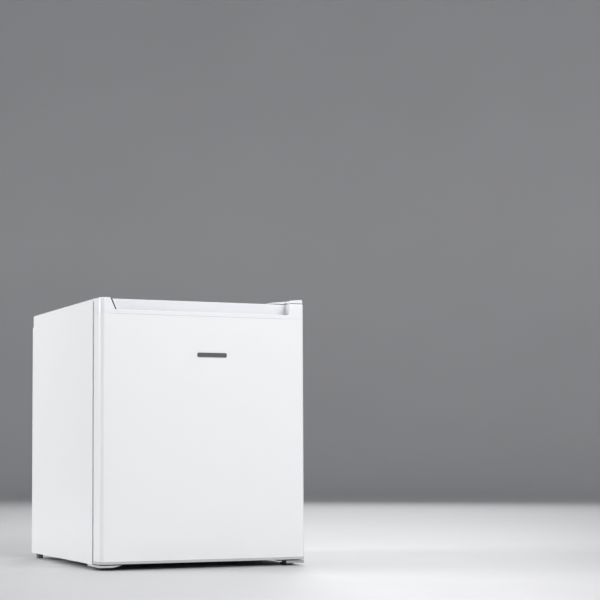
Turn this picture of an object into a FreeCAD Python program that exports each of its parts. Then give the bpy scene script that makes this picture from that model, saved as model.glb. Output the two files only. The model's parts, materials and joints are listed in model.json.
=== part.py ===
"""Compact cube refrigerator: a foamed steel cabinet with a plastic liner, a hinged door with a grip
trough in its top cap, an ice box with a flap, a glass shelf, a thermostat, and the sealed cooling
circuit at the back.  Frame: +Z up, -Y towards the user, origin at the middle of the footprint on
the floor.  Millimetres."""
import FreeCAD, Part
import Sketcher
import math
import os
from types import SimpleNamespace

Vec = FreeCAD.Vector
doc = FreeCAD.newDocument("MiniFridge")

# Driving dimensions
DIMENSIONS = {
    # cabinet
    "width": 429, "total_depth": 490, "cabinet_depth": 430, "cabinet_height": 512,
    "foot_height": 10, "gauge": 0.8, "fold_radius": 4, "front_flange": 27, "rear_flange": 12,
    "rear_lip": 7, "rear_notch": 26,
    # cabin liner
    "liner_wall": 1.5, "side_wall": 35, "roof_wall": 36, "floor_wall": 38, "back_wall": 41,
    "recess_depth": 139.2, "recess_height": 170.8, "recess_foam": 35, "liner_round": 8,
    "rib_reach": 10, "rib_height": 8, "shelf_level": 236, "spare_level": 296,
    # door
    "door_depth": 39, "door_gap": 8, "door_low": 12, "door_high": 521, "door_corner": 10,
    "cap_seam": 490, "base_seam": 17, "grip_lip": 498, "grip_half": 184, "grip_slant": 10,
    "trough_floor": 476, "trough_depth": 19.5, "lip_wall": 3.5, "moulding": 2.5,
    "gasket_edge": 15.5, "gasket_width": 14, "dike_width": 18, "dike_reach": 20,
    "return_width": 12.5, "bush_length": 14, "bush_collar": 2, "block_half": 12, "lug_rise": 10,
    "lug_height": 8, "stop_height": 26, "lug_reach": 2.1, "badge_half": 31, "badge_height": 9,
    # hinge line and feet
    "pin_inset": 15.5, "pin_setback": 20, "pin_radius": 4, "sleeve_radius": 5.5,
    "stud_radius": 3, "pad_radius": 14, "pad_height": 5, "foot_inset": 16.5, "foot_setback": 55,
    "hinge_reach": 48, "cover_inner": 47, "cover_outer": 13, "cover_reach": 56, "cover_wall": 1.4,
    "cover_web": 16, "bracket_inner": 24, "bracket_outer": 14, "bracket_reach": 22,
    "bracket_lip": 5.5, "pin_rise": 16, "pin_drop": 12, "carrier_drop": 4, "carrier_width": 28,
    "carrier_flare": 45, "nut_radius": 6, "nut_height": 5, "stud_rise": 14, "plug_radius": 4.5,
    "cover_height": 8, "plate": 2, "bracket_plate": 2.5, "screw_radius": 2, "head_radius": 3.6,
    "head_height": 1.8,
    # ice box
    "ice_left": -160, "ice_right": 80, "ice_low": 374, "ice_high": 474, "ice_front": -40,
    "ice_back": 172, "roll_bond": 1.5, "channel": 1.8, "frame_depth": 8, "flap_thick": 3,
    "channel_pitch": 36, "channel_width": 7, "channel_inset": 16, "frame_side": 12,
    "pivot_radius": 2, "housing_depth": 118, "housing_wall": 2.5, "knob_x": 134, "knob_z": 436,
    "knob_radius": 16, "knob_depth": 12.5, "shaft_radius": 3,
    # bins, shelf, tray
    "bin_half": 146.5, "bin_reach": 78, "bin_wall": 2, "bin_low_level": 80,
    "bin_high_level": 325, "shelf_half": 176.5, "shelf_front": -105, "glass": 4,
    "bin_low_height": 60, "bin_high_height": 47, "bin_low_bar": 20, "bin_high_bar": 16,
    "trim_reach": 9, "tray_drop": 11, "tray_depth": 18, "ledge_height": 8,
    # machine recess
    "rail_front": 106, "rail_back": 212, "can_centre": 62, "can_half": 70, "can_radius": 48,
    "can_rise": 16, "seam_rise": 74, "can_height": 132, "foot_spread": 36, "stub_height": 26,
    "cord_x": -150, "cord_rise": 17, "cord_hole": 7, "grommet_radius": 9.5, "grommet_bore": 4,
    "pipe_x": -110, "pipe_z": 430, "seal_radius": 11, "seal_depth": 25, "suction_radius": 3.2,
    "drier_rise": 62, "drier_height": 130, "drier_radius": 7, "capillary_radius": 1,
    "tube_radius": 2.4,
    "wire_radius": 0.9, "condenser_half": 172, "condenser_low": 212, "condenser_pitch": 38,
    "wire_count": 29, "foot_rear_radius": 7, "badge_x": 14.8, "badge_z": 414.5, "badge_thick": 1,
}
sheet = doc.addObject("Spreadsheet::Sheet", "Sizes")
for row, (alias, value) in enumerate(DIMENSIONS.items(), start=1):
    sheet.set(f"A{row}", alias)
    sheet.set(f"B{row}", str(value))
    sheet.setAlias(f"B{row}", alias)
doc.recompute()


class Dim:
    """A length that carries its value and the expression that binds it to the sheet."""

    def __init__(self, value, text):
        self.value = float(value)
        self.text = text

    def __add__(self, other):
        other = dim(other)
        return Dim(self.value + other.value, f"({self.text} + {other.text})")

    def __sub__(self, other):
        other = dim(other)
        return Dim(self.value - other.value, f"({self.text} - {other.text})")

    def __mul__(self, other):
        other = dim(other)
        return Dim(self.value * other.value, f"({self.text} * {other.text})")

    def __truediv__(self, other):
        other = dim(other)
        return Dim(self.value / other.value, f"({self.text} / {other.text})")

    def __radd__(self, other):
        return dim(other) + self

    def __rsub__(self, other):
        return dim(other) - self

    def __rmul__(self, other):
        return dim(other) * self

    def __neg__(self):
        return dim(0) - self


def dim(number):
    """A plain number as a Dim."""
    if isinstance(number, Dim):
        return number
    return Dim(number, f"({float(number):g})")


s = SimpleNamespace(**{a: Dim(sheet.get(a), f"Sizes.{a}") for a in DIMENSIONS})

# Planes that pieces share
right = s.width / 2
left = -right
ground = dim(0)
base = s.foot_height
top = s.foot_height + s.cabinet_height
front = -s.total_depth / 2
door_back = front + s.door_depth
cabinet_front = door_back + s.door_gap
cabinet_back = cabinet_front + s.cabinet_depth
panel_back = cabinet_back - s.rear_lip
skin = right - s.gauge
recess_front = panel_back - s.recess_depth
recess_top = base + s.recess_height
cabin_half = right - s.side_wall
cabin_floor = base + s.floor_wall
cabin_roof = top - s.roof_wall
cabin_back = panel_back - s.back_wall
step_front = recess_front - s.recess_foam
step_top = recess_top + s.recess_foam
mouth_half = right - s.front_flange
mouth_low = base + s.front_flange
mouth_high = top - s.front_flange
pin_x = right - s.pin_inset
pin_y = front + s.pin_setback
pipe_x = s.pipe_x
pipe_z = s.pipe_z
tube_plane = -front + s.badge_thick - s.tube_radius - 2 * s.wire_radius

pieces = []


def piece(label, shape_object):
    """Names a finished sub-part; the name is also its file's name."""
    shape_object.Label = label
    pieces.append(shape_object)
    return shape_object


# Building helpers
def bind(thing, **expressions):
    """Binds properties to sheet expressions; a double underscore stands for a dot."""
    for name, length in expressions.items():
        thing.setExpression(name.replace("__", "."), dim(length).text)


def box(x, y, z):
    """A Part::Box between the low and high of each axis."""
    block = doc.addObject("Part::Box", "Block")
    (x0, x1), (y0, y1), (z0, z1) = [(dim(a), dim(b)) for a, b in (x, y, z)]
    bind(block, Length=x1 - x0, Width=y1 - y0, Height=z1 - z0)
    bind(block, Placement__Base__x=x0, Placement__Base__y=y0, Placement__Base__z=z0)
    return block


TURNS = {
    "z": FreeCAD.Rotation(),
    "x": FreeCAD.Rotation(Vec(0, 1, 0), 90),
    "y": FreeCAD.Rotation(Vec(1, 0, 0), -90),
}


def rod(axis, at, radius, length):
    """A Part::Cylinder that starts at a point and runs along +X, +Y or +Z."""
    cylinder = doc.addObject("Part::Cylinder", "Rod")
    cylinder.Placement = FreeCAD.Placement(Vec(), TURNS[axis])
    bind(cylinder, Radius=radius, Height=length)
    bind(cylinder, Placement__Base__x=at[0], Placement__Base__y=at[1], Placement__Base__z=at[2])
    return cylinder


def join(*parts):
    """One solid from touching parts."""
    fused = doc.addObject("Part::MultiFuse", "Joined")
    fused.Shapes = list(parts)
    fused.Refine = True
    return fused


def group(*parts):
    """Separate solids in one node."""
    compound = doc.addObject("Part::Compound", "Group")
    compound.Links = list(parts)
    return compound


def carve(body, *tools):
    """The first part less the others."""
    for tool in tools:
        result = doc.addObject("Part::Cut", "Carved")
        result.Base = body
        result.Tool = tool
        body = result
    return body


def ring(axis, at, outer, inner, length):
    """A round sleeve."""
    return carve(rod(axis, at, outer, length), rod(axis, at, inner, length))


def along(shape, axis, **at):
    """Names of the straight edges that run along an axis and pass through the given places."""
    index = "xyz".index(axis)
    found = []
    for number, edge in enumerate(shape.Edges, start=1):
        ends = [v.Point for v in edge.Vertexes]
        if len(ends) != 2 or edge.Curve.TypeId != "Part::GeomLine":
            continue
        step = ends[1] - ends[0]
        if any(abs(step[i]) > 1e-4 for i in range(3) if i != index):
            continue
        wanted = {"xyz".index(k): [dim(p).value for p in v] for k, v in at.items()}
        if all(any(abs(ends[0][i] - p) < 1e-3 for p in v) for i, v in wanted.items()):
            found.append(f"Edge{number}")
    return found


class Body:
    """A PartDesign body that grows by pads and shrinks by pockets between two planes."""

    def __init__(self, label):
        self.body = doc.addObject("PartDesign::Body", "Body")
        self.label = label
        self.planes = {f.Role: f for f in self.body.Origin.OriginFeatures}

    def _sketch(self, plane, low, high):
        sketch = self.body.newObject("Sketcher::SketchObject", "Outline")
        sketch.AttachmentSupport = [(self.planes[f"{plane}_Plane"], "")]
        sketch.MapMode = "FlatFace"
        start = -dim(high) if plane == "XZ" else dim(low)
        sketch.setExpression("AttachmentOffset.Base.z", start.text)
        return sketch

    def _fix(self, sketch, geometry, point, place):
        for kind, length in zip(("DistanceX", "DistanceY"), place):
            length = dim(length)
            number = sketch.addConstraint(
                Sketcher.Constraint(kind, -1, 1, geometry, point, length.value))
            sketch.setExpression(f"Constraints[{number}]", length.text)

    def _polygon(self, sketch, corners):
        ends = [Vec(dim(u).value, dim(v).value, 0) for u, v in corners]
        first = sketch.GeometryCount
        for i, end in enumerate(ends):
            sketch.addGeometry(Part.LineSegment(end, ends[(i + 1) % len(ends)]), False)
        for i in range(len(ends)):
            following = first + (i + 1) % len(ends)
            sketch.addConstraint(Sketcher.Constraint("Coincident", first + i, 2, following, 1))
        for i, corner in enumerate(corners):
            self._fix(sketch, first + i, 1, corner)

    def _circle(self, sketch, centre, radius):
        u, v = (dim(c) for c in centre)
        radius = dim(radius)
        number = sketch.addGeometry(
            Part.Circle(Vec(u.value, v.value, 0), Vec(0, 0, 1), radius.value), False)
        self._fix(sketch, number, 3, (u, v))
        fixed = sketch.addConstraint(Sketcher.Constraint("Radius", number, radius.value))
        sketch.setExpression(f"Constraints[{fixed}]", radius.text)

    def _feature(self, kind, plane, span, outlines, circles):
        low, high = (dim(p) for p in span)
        sketch = self._sketch(plane, low, high)
        for corners in outlines:
            self._polygon(sketch, corners)
        for centre, radius in circles:
            self._circle(sketch, centre, radius)
        before = self.body.Tip.Shape.Volume if self.body.Tip else 0.0
        feature = self.body.newObject(kind, kind.split("::")[1])
        feature.Profile = sketch
        feature.setExpression("Length", (high - low).text)
        if kind == "PartDesign::Pocket":
            feature.Reversed = True
        doc.recompute()
        change = self.body.Tip.Shape.Volume - before
        grows = kind == "PartDesign::Pad"
        if (change <= 0) if grows else (change >= 0):
            raise RuntimeError(f"{self.label}: a feature on {plane} changes nothing")
        return self

    def pad(self, plane, span, *outlines, circles=()):
        return self._feature("PartDesign::Pad", plane, span, outlines, circles)

    def pocket(self, plane, span, *outlines, circles=()):
        return self._feature("PartDesign::Pocket", plane, span, outlines, circles)

    def soften(self, radius, *picks, kind="Fillet"):
        """Rounds, or chamfers, straight edges: each pick is an axis and the places it passes."""
        last = self.body.Tip
        names = [n for axis, at in picks for n in along(last.Shape, axis, **at)]
        if not names:
            raise RuntimeError(f"{self.label}: no edge to soften")
        feature = self.body.newObject(f"PartDesign::{kind}", kind)
        feature.Base = (last, names)
        feature.setExpression("Radius" if kind == "Fillet" else "Size", dim(radius).text)
        doc.recompute()
        if not feature.Shape.isValid():
            raise RuntimeError(f"{self.label}: the softened edges fail")
        return self

    def done(self):
        return piece(self.label, self.body)


def rect(u, v):
    """Corners of an upright rectangle in a sketch."""
    return [(u[0], v[0]), (u[1], v[0]), (u[1], v[1]), (u[0], v[1])]


def bent_path(points, bend):
    """A wire through the points, with an arc of the given radius at each turn."""
    ends = [Vec(*[dim(c).value for c in p]) for p in points]
    edges = []
    here = ends[0]
    for before, corner, after in zip(ends, ends[1:], ends[2:]):
        into = (corner - before).normalize()
        out = (after - corner).normalize()
        turn = into.getAngle(out)
        reach = bend * math.tan(turn / 2)
        start, end = corner - into * reach, corner + out * reach
        middle = corner + (out - into).normalize() * (bend / math.cos(turn / 2) - bend)
        edges.append(Part.LineSegment(here, start).toShape())
        edges.append(Part.Arc(start, middle, end).toShape())
        here = end
    edges.append(Part.LineSegment(here, ends[-1]).toShape())
    return Part.Wire(edges)


def tube(label, points, radius, bend):
    """A bent refrigerant line: no primitive or sketch feature follows a path in space this simply."""
    path = bent_path(points, bend)
    start = path.Edges[0]
    circle = Part.Circle(start.valueAt(start.FirstParameter),
                         start.tangentAt(start.FirstParameter), dim(radius).value)
    solid = path.makePipeShell([Part.Wire(circle.toShape())], True, False)
    line = doc.addObject("Part::Feature", "Line")
    line.Shape = solid
    return piece(label, line)


def round_rims(solid, radius, level):
    """Rounds the circular edges that lie at one height."""
    doc.recompute()
    rims = []
    for number, edge in enumerate(solid.Shape.Edges, start=1):
        flat = edge.Curve.TypeId == "Part::GeomCircle" and abs(edge.BoundBox.ZLength) < 1e-6
        if flat and abs(edge.BoundBox.ZMin - dim(level).value) < 1e-3:
            rims.append((number, radius, radius))
    fillet = doc.addObject("Part::Fillet", "Rounded")
    fillet.Base = solid
    fillet.Edges = rims
    return fillet


def bolt(x, y, low, high, head):
    """A pan-head screw along Z: its shank runs from low to high, its head is outside that."""
    shank = rod("z", (x, y, low), s.screw_radius, high - low)
    start = high if head > 0 else low - s.head_height
    return join(shank, rod("z", (x, y, start), s.head_radius, s.head_height))


# Cabinet shells
liner_front = cabinet_front + s.gauge
foam_front = liner_front + s.liner_wall
foam_back = panel_back - 2 * s.gauge
sheet_top = top - s.gauge
pan_top = base + s.gauge
foot_x = right - s.foot_inset
foot_y = front + s.foot_setback
hinge_screws = [(pin_x - 8, cabinet_front + 14), (pin_x + 5, cabinet_front + 14),
                (pin_x - 2, cabinet_front + 38)]
bracket_screws = [(foot_x - 16, foot_y + 2), (foot_x - 16, foot_y + 16)]


def outer_shell():
    """Sides and top folded from one steel sheet, with flanges turned in at the front and rear."""
    shell = Body("outer_shell")
    shell.pad("XZ", (cabinet_front, cabinet_back), [
        (left, base), (left, top), (right, top), (right, base),
        (skin, base), (skin, sheet_top), (-skin, sheet_top), (-skin, base)])
    shell.pad("XZ", (cabinet_front, liner_front), rect((left, right), (base, top)),
              rect((-mouth_half, mouth_half), (mouth_low, mouth_high)))
    inner = skin - s.rear_flange
    shell.pad("XZ", (foam_back, panel_back - s.gauge), [
        (-skin, recess_top + s.gauge), (-skin, sheet_top), (skin, sheet_top),
        (skin, recess_top + s.gauge), (inner, recess_top + s.gauge),
        (inner, sheet_top - s.rear_flange), (-inner, sheet_top - s.rear_flange),
        (-inner, recess_top + s.gauge)])
    shell.soften(s.fold_radius - s.gauge, ("y", {"x": (-skin, skin), "z": (sheet_top,)}))
    shell.soften(s.fold_radius, ("y", {"x": (left, right), "z": (top,)}))
    shell.pocket("XZ", (panel_back + 1, cabinet_back),
                 rect((left - 1, right + 1), (top - s.rear_notch, top + 1)))
    holes = [(place, s.screw_radius) for place in hinge_screws]
    plugs = [((-x, y), s.screw_radius) for x, y in hinge_screws]
    shell.pocket("XY", (sheet_top, top), circles=holes + plugs)
    shell.pocket("XZ", (foam_back, panel_back - s.gauge),
                 circles=[(place, s.screw_radius) for place in panel_screws])
    shell.done()


def base_pan():
    """Sheet floor in front of the machine recess."""
    pan = Body("base_pan")
    pan.pad("XY", (base, pan_top), rect((-skin, skin), (liner_front, recess_front - s.gauge)))
    studs = [((side * foot_x, foot_y), s.stud_radius + 0.5) for side in (-1, 1)]
    holes = [((side * x, y), s.screw_radius) for side in (-1, 1) for x, y in bracket_screws]
    pan.pocket("XY", (base, pan_top), circles=studs + holes)
    pan.done()


def recess_panel():
    """Folded sheet that roofs and fronts the machine recess."""
    panel = Body("recess_panel")
    y, z = recess_front, recess_top
    panel.pad("YZ", (-skin, skin), [
        (y - s.gauge, base), (y, base), (y, z), (panel_back, z),
        (panel_back, z + s.gauge), (y - s.gauge, z + s.gauge)])
    panel.done()


def back_panel():
    """Flat sheet that closes the foamed back, with a hole for the refrigerant lines."""
    panel = Body("back_panel")
    panel.pad("XZ", (panel_back - s.gauge, panel_back), rect(
        (-skin, skin), (recess_top + s.gauge, sheet_top - s.fold_radius)))
    holes = [((x, z), s.screw_radius) for x, z in panel_screws]
    panel.pocket("XZ", (panel_back - s.gauge, panel_back),
                 circles=[((pipe_x, pipe_z), s.seal_radius)] + holes)
    panel.done()


panel_screws = [(side * (skin - s.rear_flange / 2), z) for side in (-1, 1)
                for z in (recess_top + 30, (recess_top + top) / 2, top - 40)]


def back_panel_screws():
    """Screws that hold the back panel to the shell's rear flanges."""
    screws = []
    for x, z in panel_screws:
        head = rod("y", (x, panel_back, z), s.head_radius, s.head_height)
        shank = rod("y", (x, foam_back, z), s.screw_radius, panel_back - foam_back)
        screws.append(join(shank, head))
    piece("back_panel_screws", group(*screws))


def insulation_foam():
    """Rigid foam that fills the space between shell, liner and recess."""
    foam = Body("insulation_foam")
    foam.pad("XZ", (foam_front, foam_back), rect((-skin, skin), (pan_top, sheet_top)))
    foam.soften(s.fold_radius, ("y", {"x": (-skin, skin), "z": (sheet_top,)}))
    foam.pocket("YZ", (-cabin_half, cabin_half), cabin_outline(0, foam_front - 1))
    foam.pocket("XZ", (recess_front - s.gauge, foam_back),
                rect((left, right), (base, recess_top + s.gauge)))
    studs = [((side * foot_x, foot_y), dim(7)) for side in (-1, 1)]
    holes = [((side * x, y), s.screw_radius) for side in (-1, 1) for x, y in bracket_screws]
    foam.pocket("XY", (pan_top, pan_top + 20), circles=studs)
    foam.pocket("XY", (pan_top, pan_top + 8), circles=holes)
    plate_x, plate_y = nut_plate
    foam.pocket("XY", (sheet_top - s.plate, sheet_top), rect(plate_x, plate_y))
    plugs = [((-x, y), s.screw_radius) for x, y in hinge_screws]
    foam.pocket("XY", (sheet_top - 6, sheet_top), circles=plugs)
    foam.pocket("XZ", (foam_back - s.seal_depth, foam_back),
                circles=[((pipe_x, pipe_z), s.seal_radius)])
    foam.done()


def cabin_outline(inset, mouth):
    """Side outline of the cabin, with its step over the machine recess."""
    low, high = cabin_floor + inset, cabin_roof - inset
    near, far, level = step_front - inset, cabin_back - inset, step_top + inset
    return [(mouth, low), (near, low), (near, level), (far, level), (far, high), (mouth, high)]


def inner_liner():
    """Vacuum-formed cabin with shelf ribs and the drip tray's left ledge."""
    liner = Body("inner_liner")
    wall, inner = s.liner_wall, cabin_half - s.liner_wall
    edge_x, edge_low, edge_high = mouth_half + 9, mouth_low - 9, mouth_high + 9
    liner.pad("YZ", (-cabin_half, cabin_half), cabin_outline(0, liner_front))
    liner.pad("XZ", (liner_front, foam_front), rect((-edge_x, edge_x), (edge_low, edge_high)))
    liner.pocket("YZ", (-inner, inner), cabin_outline(wall, liner_front))
    liner.soften(s.liner_round, ("y", {"x": (-inner, inner),
                                       "z": (cabin_floor + wall, cabin_roof - wall)}))
    for level in (s.shelf_level, s.spare_level):
        for low, height in ((level - s.rib_height, s.rib_height), (level + 9, dim(5))):
            rib = [rect(span, (low, low + height)) for span in
                   ((-inner - 0.5, -inner + s.rib_reach), (inner - s.rib_reach, inner + 0.5))]
            liner.pad("XZ", (cabinet_front + 48, cabin_back - 12), *rib)
    liner.pad("XZ", (s.ice_front, s.ice_front + s.housing_depth), rect(
        (-inner - 0.5, s.ice_left - 2), (tray_rim - s.ledge_height, tray_rim)))
    liner.done()


tray_rim = s.ice_low - s.tray_drop


def hinge_nut_plates():
    """Threaded plates behind the sheet: one for the top hinge, two rings for the feet."""
    plate_x, plate_y = nut_plate
    top_plate = box(plate_x, plate_y, (sheet_top - s.plate, sheet_top))
    holes = [rod("z", (x, y, sheet_top - s.plate), s.screw_radius, s.plate)
             for x, y in hinge_screws]
    nuts = [ring("z", (side * foot_x, foot_y, pan_top), s.nut_radius, s.stud_radius + 0.05,
                 s.nut_height)
            for side in (-1, 1)]
    piece("threaded_inserts", group(carve(top_plate, *holes), *nuts))


nut_plate = ((pin_x - 20, pin_x + 11), (cabinet_front + 6, cabinet_front + s.hinge_reach - 2))

# Hinges and front feet
bracket_top = top + s.bracket_plate


def hinge_bracket_top():
    """Steel plate on the roof whose pin drops into the door."""
    plate = box((pin_x - 12, pin_x + 11), (pin_y - 10, cabinet_front + s.hinge_reach),
                (top, bracket_top))
    holes = [rod("z", (x, y, top), s.screw_radius, s.bracket_plate) for x, y in hinge_screws]
    pin = rod("z", (pin_x, pin_y, s.door_high - s.pin_drop), s.pin_radius,
              top - s.door_high + s.pin_drop)
    piece("hinge_bracket_top", join(carve(plate, *holes), pin))


def hinge_screws_top():
    """Three screws through the bracket and the roof into the threaded plate."""
    screws = [bolt(x, y, sheet_top - s.plate, bracket_top, 1) for x, y in hinge_screws]
    piece("hinge_screws_top", group(*screws))


def hinge_cover_top():
    """Moulded cover over the top hinge; it tapers away from the corner, behind the trough."""
    cover = Body("hinge_cover_top")
    near, far = front + 4, cabinet_front + s.cover_reach
    start, end, low = pin_x - s.cover_inner, pin_x + s.cover_outer, top + 0.6
    peak, wall, web = top + s.cover_height, s.cover_wall, start + s.cover_web
    cover.pad("XZ", (near, far), [
        (start, low), (end, low), (end, peak - 1.5), (end - 4, peak), (start, top + 2)])
    behind, arm = trough_back + s.moulding, s.grip_half + 1
    cover.pocket("XY", (low, peak), rect((start, arm), (near, behind)))
    shoulder = [(end - wall, low), (end - wall, peak - 1.5 - wall), (end - 5, peak - wall)]
    cover.pocket("XZ", (behind + wall, far - wall), [(web, low), *shoulder, (web, top + 2.3)])
    rise = (peak - wall - top - 2.3) / (end - 5 - web)
    cover.pocket("XZ", (near + wall, behind + wall), [
        (arm + wall, low), *shoulder, (arm + wall, top + 2.3 + rise * (arm + wall - web))])
    cover.done()


def hinge_hole_plugs():
    """Caps in the roof holes that serve a left-hung door."""
    plugs = []
    for x, y in hinge_screws:
        stem = rod("z", (-x, y, top - 5), s.screw_radius, dim(5))
        plugs.append(join(stem, rod("z", (-x, y, top), s.plug_radius, dim(0.8))))
    piece("hinge_hole_plugs", group(*plugs))


def hinge_bracket_bottom():
    """Steel plate under the cabinet whose pin carries the door."""
    low = base - s.bracket_plate
    span = (pin_x - s.bracket_inner, pin_x + s.bracket_outer)
    plate = box(span, (front + 4, foot_y + s.bracket_reach), (low, base))
    holes = [rod("z", (x, y, low), s.screw_radius, s.bracket_plate) for x, y in bracket_screws]
    stud = rod("z", (foot_x, foot_y, low), s.stud_radius + 0.5, s.bracket_plate)
    lip = box(span, (front + 4, front + 6), (base - s.bracket_lip, low))
    pin = rod("z", (pin_x, pin_y, base), s.pin_radius, s.pin_rise)
    piece("hinge_bracket_bottom", join(carve(plate, stud, *holes), lip, pin))


def bracket_screws_bottom():
    """Screws that hold the bottom bracket and the left foot bracket to the base pan."""
    low = base - s.bracket_plate
    screws = [bolt(side * x, y, low, pan_top + 8, -1) for side in (-1, 1)
              for x, y in bracket_screws]
    piece("bracket_screws_bottom", group(*screws))


def front_left_foot_bracket():
    """Moulded carrier that matches the hinge side, its screws' heads sunk in its underside."""
    carrier = Body("front_left_foot_bracket")
    near, far, low = front + 2, foot_y + s.bracket_reach, base - s.carrier_drop
    carrier.pad("XZ", (near, far), [
        (left + 0.5, low), (left + s.carrier_width, low), (left + s.carrier_flare, base),
        (left + 0.5, base)])
    carrier.soften(1.2, ("y", {"x": (left + s.carrier_width,), "z": (low,)}), kind="Chamfer")
    under = base - s.bracket_plate
    carrier.pocket("XY", (low, under), circles=[
        ((-x, y), s.head_radius + 0.6) for x, y in bracket_screws])
    holes = [((-x, y), s.screw_radius) for x, y in bracket_screws]
    carrier.pocket("XY", (under, base), circles=holes)
    carrier.pocket("XY", (low, base), circles=[((-foot_x, foot_y), s.stud_radius + 0.5)])
    carrier.done()


def front_foot(side, name):
    """Levelling foot: a glide moulded on a threaded stud."""
    at = (side * foot_x, foot_y)
    glide = join(rod("z", (*at, ground), s.pad_radius, s.pad_height - 1.5),
                 rod("z", (*at, ground + s.pad_height - 1.5), s.pad_radius - 4, dim(1.5)))
    core = rod("z", (*at, ground + 2), s.stud_radius, s.pad_height)
    piece(f"{name}_glide", carve(glide, core))
    piece(f"{name}_stud", rod("z", (*at, ground + 2), s.stud_radius, s.foot_height + s.stud_rise))


def rear_feet():
    """Two fixed rubber feet under the compressor base."""
    radius = s.foot_rear_radius
    feet = [rod("z", (side * (right - 9), cabinet_back - 31, ground), radius, base)
            for side in (-1, 1)]
    piece("rear_feet", group(*feet))


# Door
skin_inner = front + s.gauge
door_liner_front = door_back - s.liner_wall
trough_back = front + s.lip_wall + s.trough_depth
dike_half = cabin_half - s.liner_wall - 11
dike_low = cabin_floor + 10
dike_high = cabin_roof - 10
lug_levels = (s.bin_low_level + s.lug_rise, s.bin_high_level + s.lug_rise)


def door_profile(half, near):
    """Rounded-front door section in plan, without its corner arcs."""
    return rect((-half, half), (near, door_back))


def door_skin():
    """Steel door wrap: face, rounded vertical edges and returns to the rear."""
    steel = Body("door_skin")
    span = (s.base_seam, s.cap_seam)
    steel.pad("XY", span, door_profile(right, front))
    steel.pocket("XY", span, rect((-skin, skin), (skin_inner, door_back - s.gauge)))
    steel.soften(s.door_corner - s.gauge, ("z", {"x": (-skin, skin), "y": (skin_inner,)}))
    steel.soften(s.door_corner, ("z", {"x": (left, right), "y": (front,)}))
    steel.pocket("XZ", (door_back - s.gauge, door_back), rect(
        (-door_flat, door_flat), span))
    steel.done()


door_flat = right - s.return_width


def door_top_cap():
    """Moulded top of the door with a full-width finger trough behind a low front lip."""
    cap = Body("door_top_cap")
    shell_half = s.grip_half - 3.5
    cap.pad("XY", (s.cap_seam, s.door_high), door_profile(right, front))
    cap.soften(s.door_corner, ("z", {"x": (left, right), "y": (front,)}))
    cap.soften(2, ("y", {"x": (right,), "z": (s.door_high,)}))
    cap.pad("XY", (s.trough_floor - s.moulding, s.cap_seam), rect(
        (-shell_half - s.moulding, shell_half), (skin_inner, trough_back + s.moulding)))
    cap.pocket("XZ", (front, trough_back), [
        (-s.grip_half, s.grip_lip), (s.grip_half - 4, s.grip_lip),
        (s.grip_half - 2, s.door_high), (-s.grip_half - s.grip_slant, s.door_high)])
    cap.pocket("XY", (s.trough_floor, s.grip_lip), rect(
        (-shell_half, shell_half - s.moulding), (front + s.lip_wall, trough_back)))
    cap.pocket("XY", (s.cap_seam, s.door_high - s.moulding), rect(
        (left + s.moulding, s.grip_half), (trough_back + s.moulding, door_back - 4)))
    cap.pocket("XZ", (door_liner_front, door_back), rect(
        (-door_flat, door_flat), (s.cap_seam, door_liner_top)))
    cap.pocket("XY", (s.door_high - s.bush_length, s.door_high),
               circles=[((pin_x, pin_y), s.sleeve_radius)])
    cap.done()


door_liner_top = s.door_high - s.pin_drop


def door_bottom_cap():
    """Moulded foot of the door with the lower bush hole."""
    cap = Body("door_bottom_cap")
    cap.pad("XY", (s.door_low, s.base_seam), door_profile(right, front))
    cap.soften(s.door_corner, ("z", {"x": (left, right), "y": (front,)}))
    cap.pad("XY", (s.base_seam, s.base_seam + s.bush_length), rect(
        (pin_x - s.block_half, skin - 3), (pin_y - 10, pin_y + 10)))
    cap.pocket("XY", (s.door_low, s.base_seam + s.bush_length), circles=[((pin_x, pin_y), s.sleeve_radius)])
    cap.done()


def door_bushes():
    """Plastic bearings for the two hinge pins; the lower one has the thrust flange."""
    bore = s.pin_radius + 0.05
    sleeve = ring("z", (pin_x, pin_y, s.door_high - s.bush_length), s.sleeve_radius, bore,
                  s.bush_length)
    collar = ring("z", (pin_x, pin_y, s.door_high), s.sleeve_radius + s.bush_collar, bore, dim(0.7))
    piece("door_bush_top", join(sleeve, collar))
    sleeve = ring("z", (pin_x, pin_y, s.door_low), s.sleeve_radius, bore,
                  s.base_seam + s.bush_length - s.door_low)
    collar = ring("z", (pin_x, pin_y, base), s.sleeve_radius + s.bush_collar, bore, s.door_low - base)
    piece("door_bush_bottom", join(sleeve, collar))


def door_foam():
    """Rigid foam inside the door skin, around the trough and the lower bush block."""
    foam = Body("door_foam")
    low, high = s.base_seam, s.cap_seam
    foam.pad("XY", (low, high), rect((-skin, skin), (skin_inner, door_back - s.gauge)))
    foam.soften(s.door_corner - s.gauge, ("z", {"x": (-skin, skin), "y": (skin_inner,)}))
    foam.pocket("XZ", (door_liner_front, door_back), rect((-door_flat, door_flat), (low, high)))
    foam.pocket("XY", (s.trough_floor - s.moulding, high), rect(
        (-s.grip_half, s.grip_half), (skin_inner, trough_back + s.moulding)))
    foam.pocket("XY", (low, low + s.bush_length), rect(
        (pin_x - s.block_half, skin), (pin_y - 10, pin_y + 10)))
    foam.done()


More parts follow.
